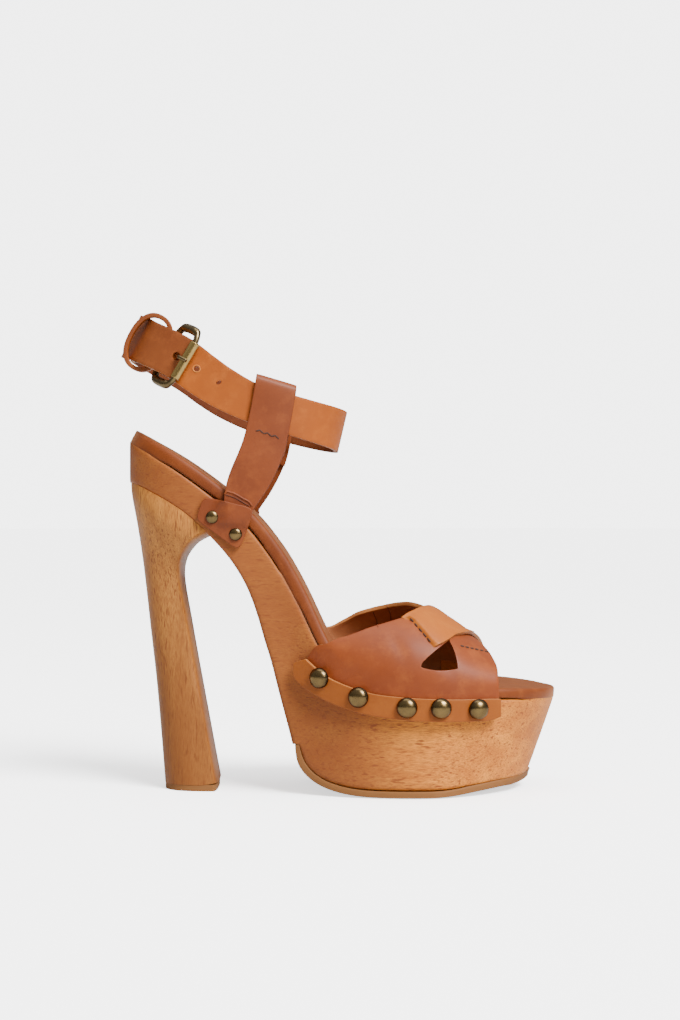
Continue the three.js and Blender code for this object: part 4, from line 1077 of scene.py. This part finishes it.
vamp_panel = make_vamp_panel()
crossing_strip = make_crossing_strip()


# Studs and rivets: domed heads on the foot that the solid's flat base gives

# The foot's outline in shares of radius and height, the dome's width and where it springs from
HEAD_FOOT = [(1, 0), (1, 0.14), (0.965, 0.3)]
DOME_WIDTH, DOME_SPRING = 0.975, 0.12
DOME_STEPS, SPIN_STEPS = 12, 40
HEAD_MERGE = 0.000005
HEAD_ANGLE = 40
HEADS = [("stud", 5, 4.5, 3.3), ("rivet", 2, 2.8, 1.5)]


def base_of(node):
    """Centre and outward direction of a head, from the flat base of its solid."""
    sums = {}
    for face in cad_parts[node].data.polygons:
        key = tuple(round(part, 2) for part in face.normal)
        area, middle = sums.get(key, (0, Vector()))
        sums[key] = (area + face.area, middle + face.center * face.area)
    key = max(sums, key=lambda k: sums[k][0])
    area, middle = sums[key]
    return middle / area, -Vector(key).normalized()


def dome_head(name, node, radius, height):
    """A pressed metal head: a dome with a small rolled foot, spun about its axis."""
    profile = list(HEAD_FOOT)
    for step in range(2, DOME_STEPS + 1):
        angle = step / DOME_STEPS * math.pi / 2
        profile.append((DOME_WIDTH * math.cos(angle), mix(DOME_SPRING, 1, math.sin(angle))))
    bm = bmesh.new()
    line = [bm.verts.new((radius * wide * MM, 0, height * high * MM)) for wide, high in profile]
    edges = [bm.edges.new(pair) for pair in zip(line, line[1:])]
    bmesh.ops.spin(bm, geom=line + edges, cent=(0, 0, 0), axis=(0, 0, 1), angle=2 * math.pi,
                   steps=SPIN_STEPS, use_merge=True)
    bmesh.ops.remove_doubles(bm, verts=bm.verts, dist=HEAD_MERGE)
    foot = [e for e in bm.edges if len(e.link_faces) == 1]
    bmesh.ops.contextual_create(bm, geom=foot)
    bmesh.ops.recalc_face_normals(bm, faces=bm.faces)
    # Each corner's share of the head's height, which sets the painted shade toward the foot
    painted_shade_rise = bm.verts.layers.float.new("painted_shade_rise")
    for vertex in bm.verts:
        vertex[painted_shade_rise] = vertex.co.z / (height * MM)
    middle, way = base_of(node)
    turn = way.to_track_quat("Z", "Y").to_matrix().to_4x4()
    bmesh.ops.transform(bm, matrix=Matrix.Translation(middle) @ turn, verts=bm.verts)
    finish_piece(add_mesh(name, bm, [stud_brass]), [node], smooth_angle=HEAD_ANGLE)


for side in ("lateral", "medial"):
    for kind, count, radius, height in HEADS:
        for number in range(1, count + 1):
            dome_head(f"dome_{kind}_{side}_{number}", f"{kind}_{side}_{number}", radius, height)


# Stitches

# Rows of stitches: first and last pixel of the photograph
STRIP_STITCHES = (410.5, 618.5), (432, 643.5)
TOE_STITCHES = (461, 646), (490, 652.5)
UPRIGHT_STITCHES = (256, 431), (279, 439)
STITCH_SIDES, STITCH_RINGS = 12, 8


def stitch_row(name, surface, ends, length, thickness):
    """Short threads laid on a surface between pairs of pixels of the photograph."""
    bm = bmesh.new()
    for pair in ends:
        first, second = (seen_at(surface, *pixel)[0] for pixel in pair)
        turn = (second - first).normalized().to_track_quat("X", "Z").to_matrix().to_4x4()
        shape = Matrix.Diagonal((length / 2 * MM, thickness / 2 * MM, thickness / 2 * MM, 1))
        made = bmesh.ops.create_uvsphere(bm, u_segments=STITCH_SIDES, v_segments=STITCH_RINGS, radius=1)
        place = Matrix.Translation((first + second) / 2)
        bmesh.ops.transform(bm, matrix=place @ turn @ shape, verts=made["verts"])
    finish_piece(add_mesh(name, bm, [thread]))


def between(start, stop, part):
    """The pixel at a share of the way from one to another."""
    return tuple(mix(a, b, part) for a, b in zip(start, stop))


def dashes(start, stop, count, fill=0.62):
    """Pairs of pixels along a straight row of stitches."""
    return [[between(start, stop, part / count) for part in (k, k + fill)] for k in range(count)]


def wave(start, stop, count, rise):
    """Pairs of pixels along a scalloped row of stitches."""
    corners = [between(start, stop, k / count) for k in range(count + 1)]
    lifted = [(x, y - rise * (k % 2)) for k, (x, y) in enumerate(corners)]
    return list(zip(lifted, lifted[1:]))


panel_surface = surface_of(vamp_panel)
upright_surface = surface_of(bpy.data.objects["upright_lateral"])
stitch_row("strip_stitches", surface_of(crossing_strip), dashes(*STRIP_STITCHES, count=5),
           length=2.6, thickness=0.75)
stitch_row("toe_stitches", panel_surface, dashes(*TOE_STITCHES, count=6, fill=0.5),
           length=2.4, thickness=1.0)
stitch_row("upright_stitches", upright_surface, wave(*UPRIGHT_STITCHES, count=6, rise=2.2),
           length=2.4, thickness=0.65)


# Lines laid on the leather: a punched hole's rim, the slot that the upright goes down through, with a dark
# cord of painted shade in its groove, inner seams

# Corners of the lines in pixels of the photograph; the rim has a middle, its two half widths and its lean
HOLE_RIM = 196.5, 368.7, 3.7, 3.4, 0.4
SLOT_LIP = [(224.6, 494), (227, 491.5), (234, 493.5), (242, 498), (249, 502), (252, 506)]
SLOT_SHADE_LINE = [(226, 494.8), (233, 497), (241.5, 501.6), (249, 506)]
LINING_SEAMS = {"near": [(373, 612), (376, 619), (378, 627)], "far": [(387, 606), (390, 613), (391, 620)]}
RIM_STEPS, LINE_STEPS = 24, 6
CORD_ROUNDNESS = 3


def laid_line(name, surface, pixels, thickness, material):
    """A thin cord laid on a surface along pixels of the photograph."""
    path = bpy.data.curves.new(name, "CURVE")
    path.dimensions = "3D"
    path.bevel_depth = thickness / 2 * MM
    path.bevel_resolution = CORD_ROUNDNESS
    spline = path.splines.new("POLY")
    places = [seen_at(surface, px, py)[0] for px, py in pixels]
    spline.points.add(len(places) - 1)
    for point, place in zip(spline.points, places):
        point.co = (*place, 1)
    holder = bpy.data.objects.new(name, path)
    scene.collection.objects.link(holder)
    bm = bmesh.new()
    bm.from_mesh(bpy.data.meshes.new_from_object(holder))
    bpy.data.objects.remove(holder)
    finish_piece(add_mesh(name, bm, [material]))


def ring_round(px, py, reach, rise, lean):
    """Pixels of an oval round a middle."""
    spots = []
    for step in range(RIM_STEPS + 1):
        angle = step / RIM_STEPS * 2 * math.pi
        across, up = reach * math.cos(angle), rise * math.sin(angle)
        spots.append((px + across * math.cos(lean) - up * math.sin(lean),
                      py + across * math.sin(lean) + up * math.cos(lean)))
    return spots


def line_through(corners):
    """Pixels of a smooth open line through corners."""
    across, up = curves_of([(k, *corner) for k, corner in enumerate(corners)])
    total = (len(corners) - 1) * LINE_STEPS
    return [(across(k / LINE_STEPS), up(k / LINE_STEPS)) for k in range(total + 1)]


# The hole's rim: lighter cut edge and painted highlight
laid_line("hole_rim", surface_of(ankle_band), ring_round(*HOLE_RIM), 0.5, highlit_rim_leather)
laid_line("slot_lip", upright_surface, line_through(SLOT_LIP), 0.9, upright_leather)
# A dark cord of painted shade in the slot's groove
laid_line("slot_painted_shade", upright_surface, line_through(SLOT_SHADE_LINE), 0.6, dark_edge_and_slot_shade)
for name, corners in LINING_SEAMS.items():
    laid_line("lining_seam_" + name, panel_surface, line_through(corners), 0.45, strap_lining)

make_camera()
make_stage()
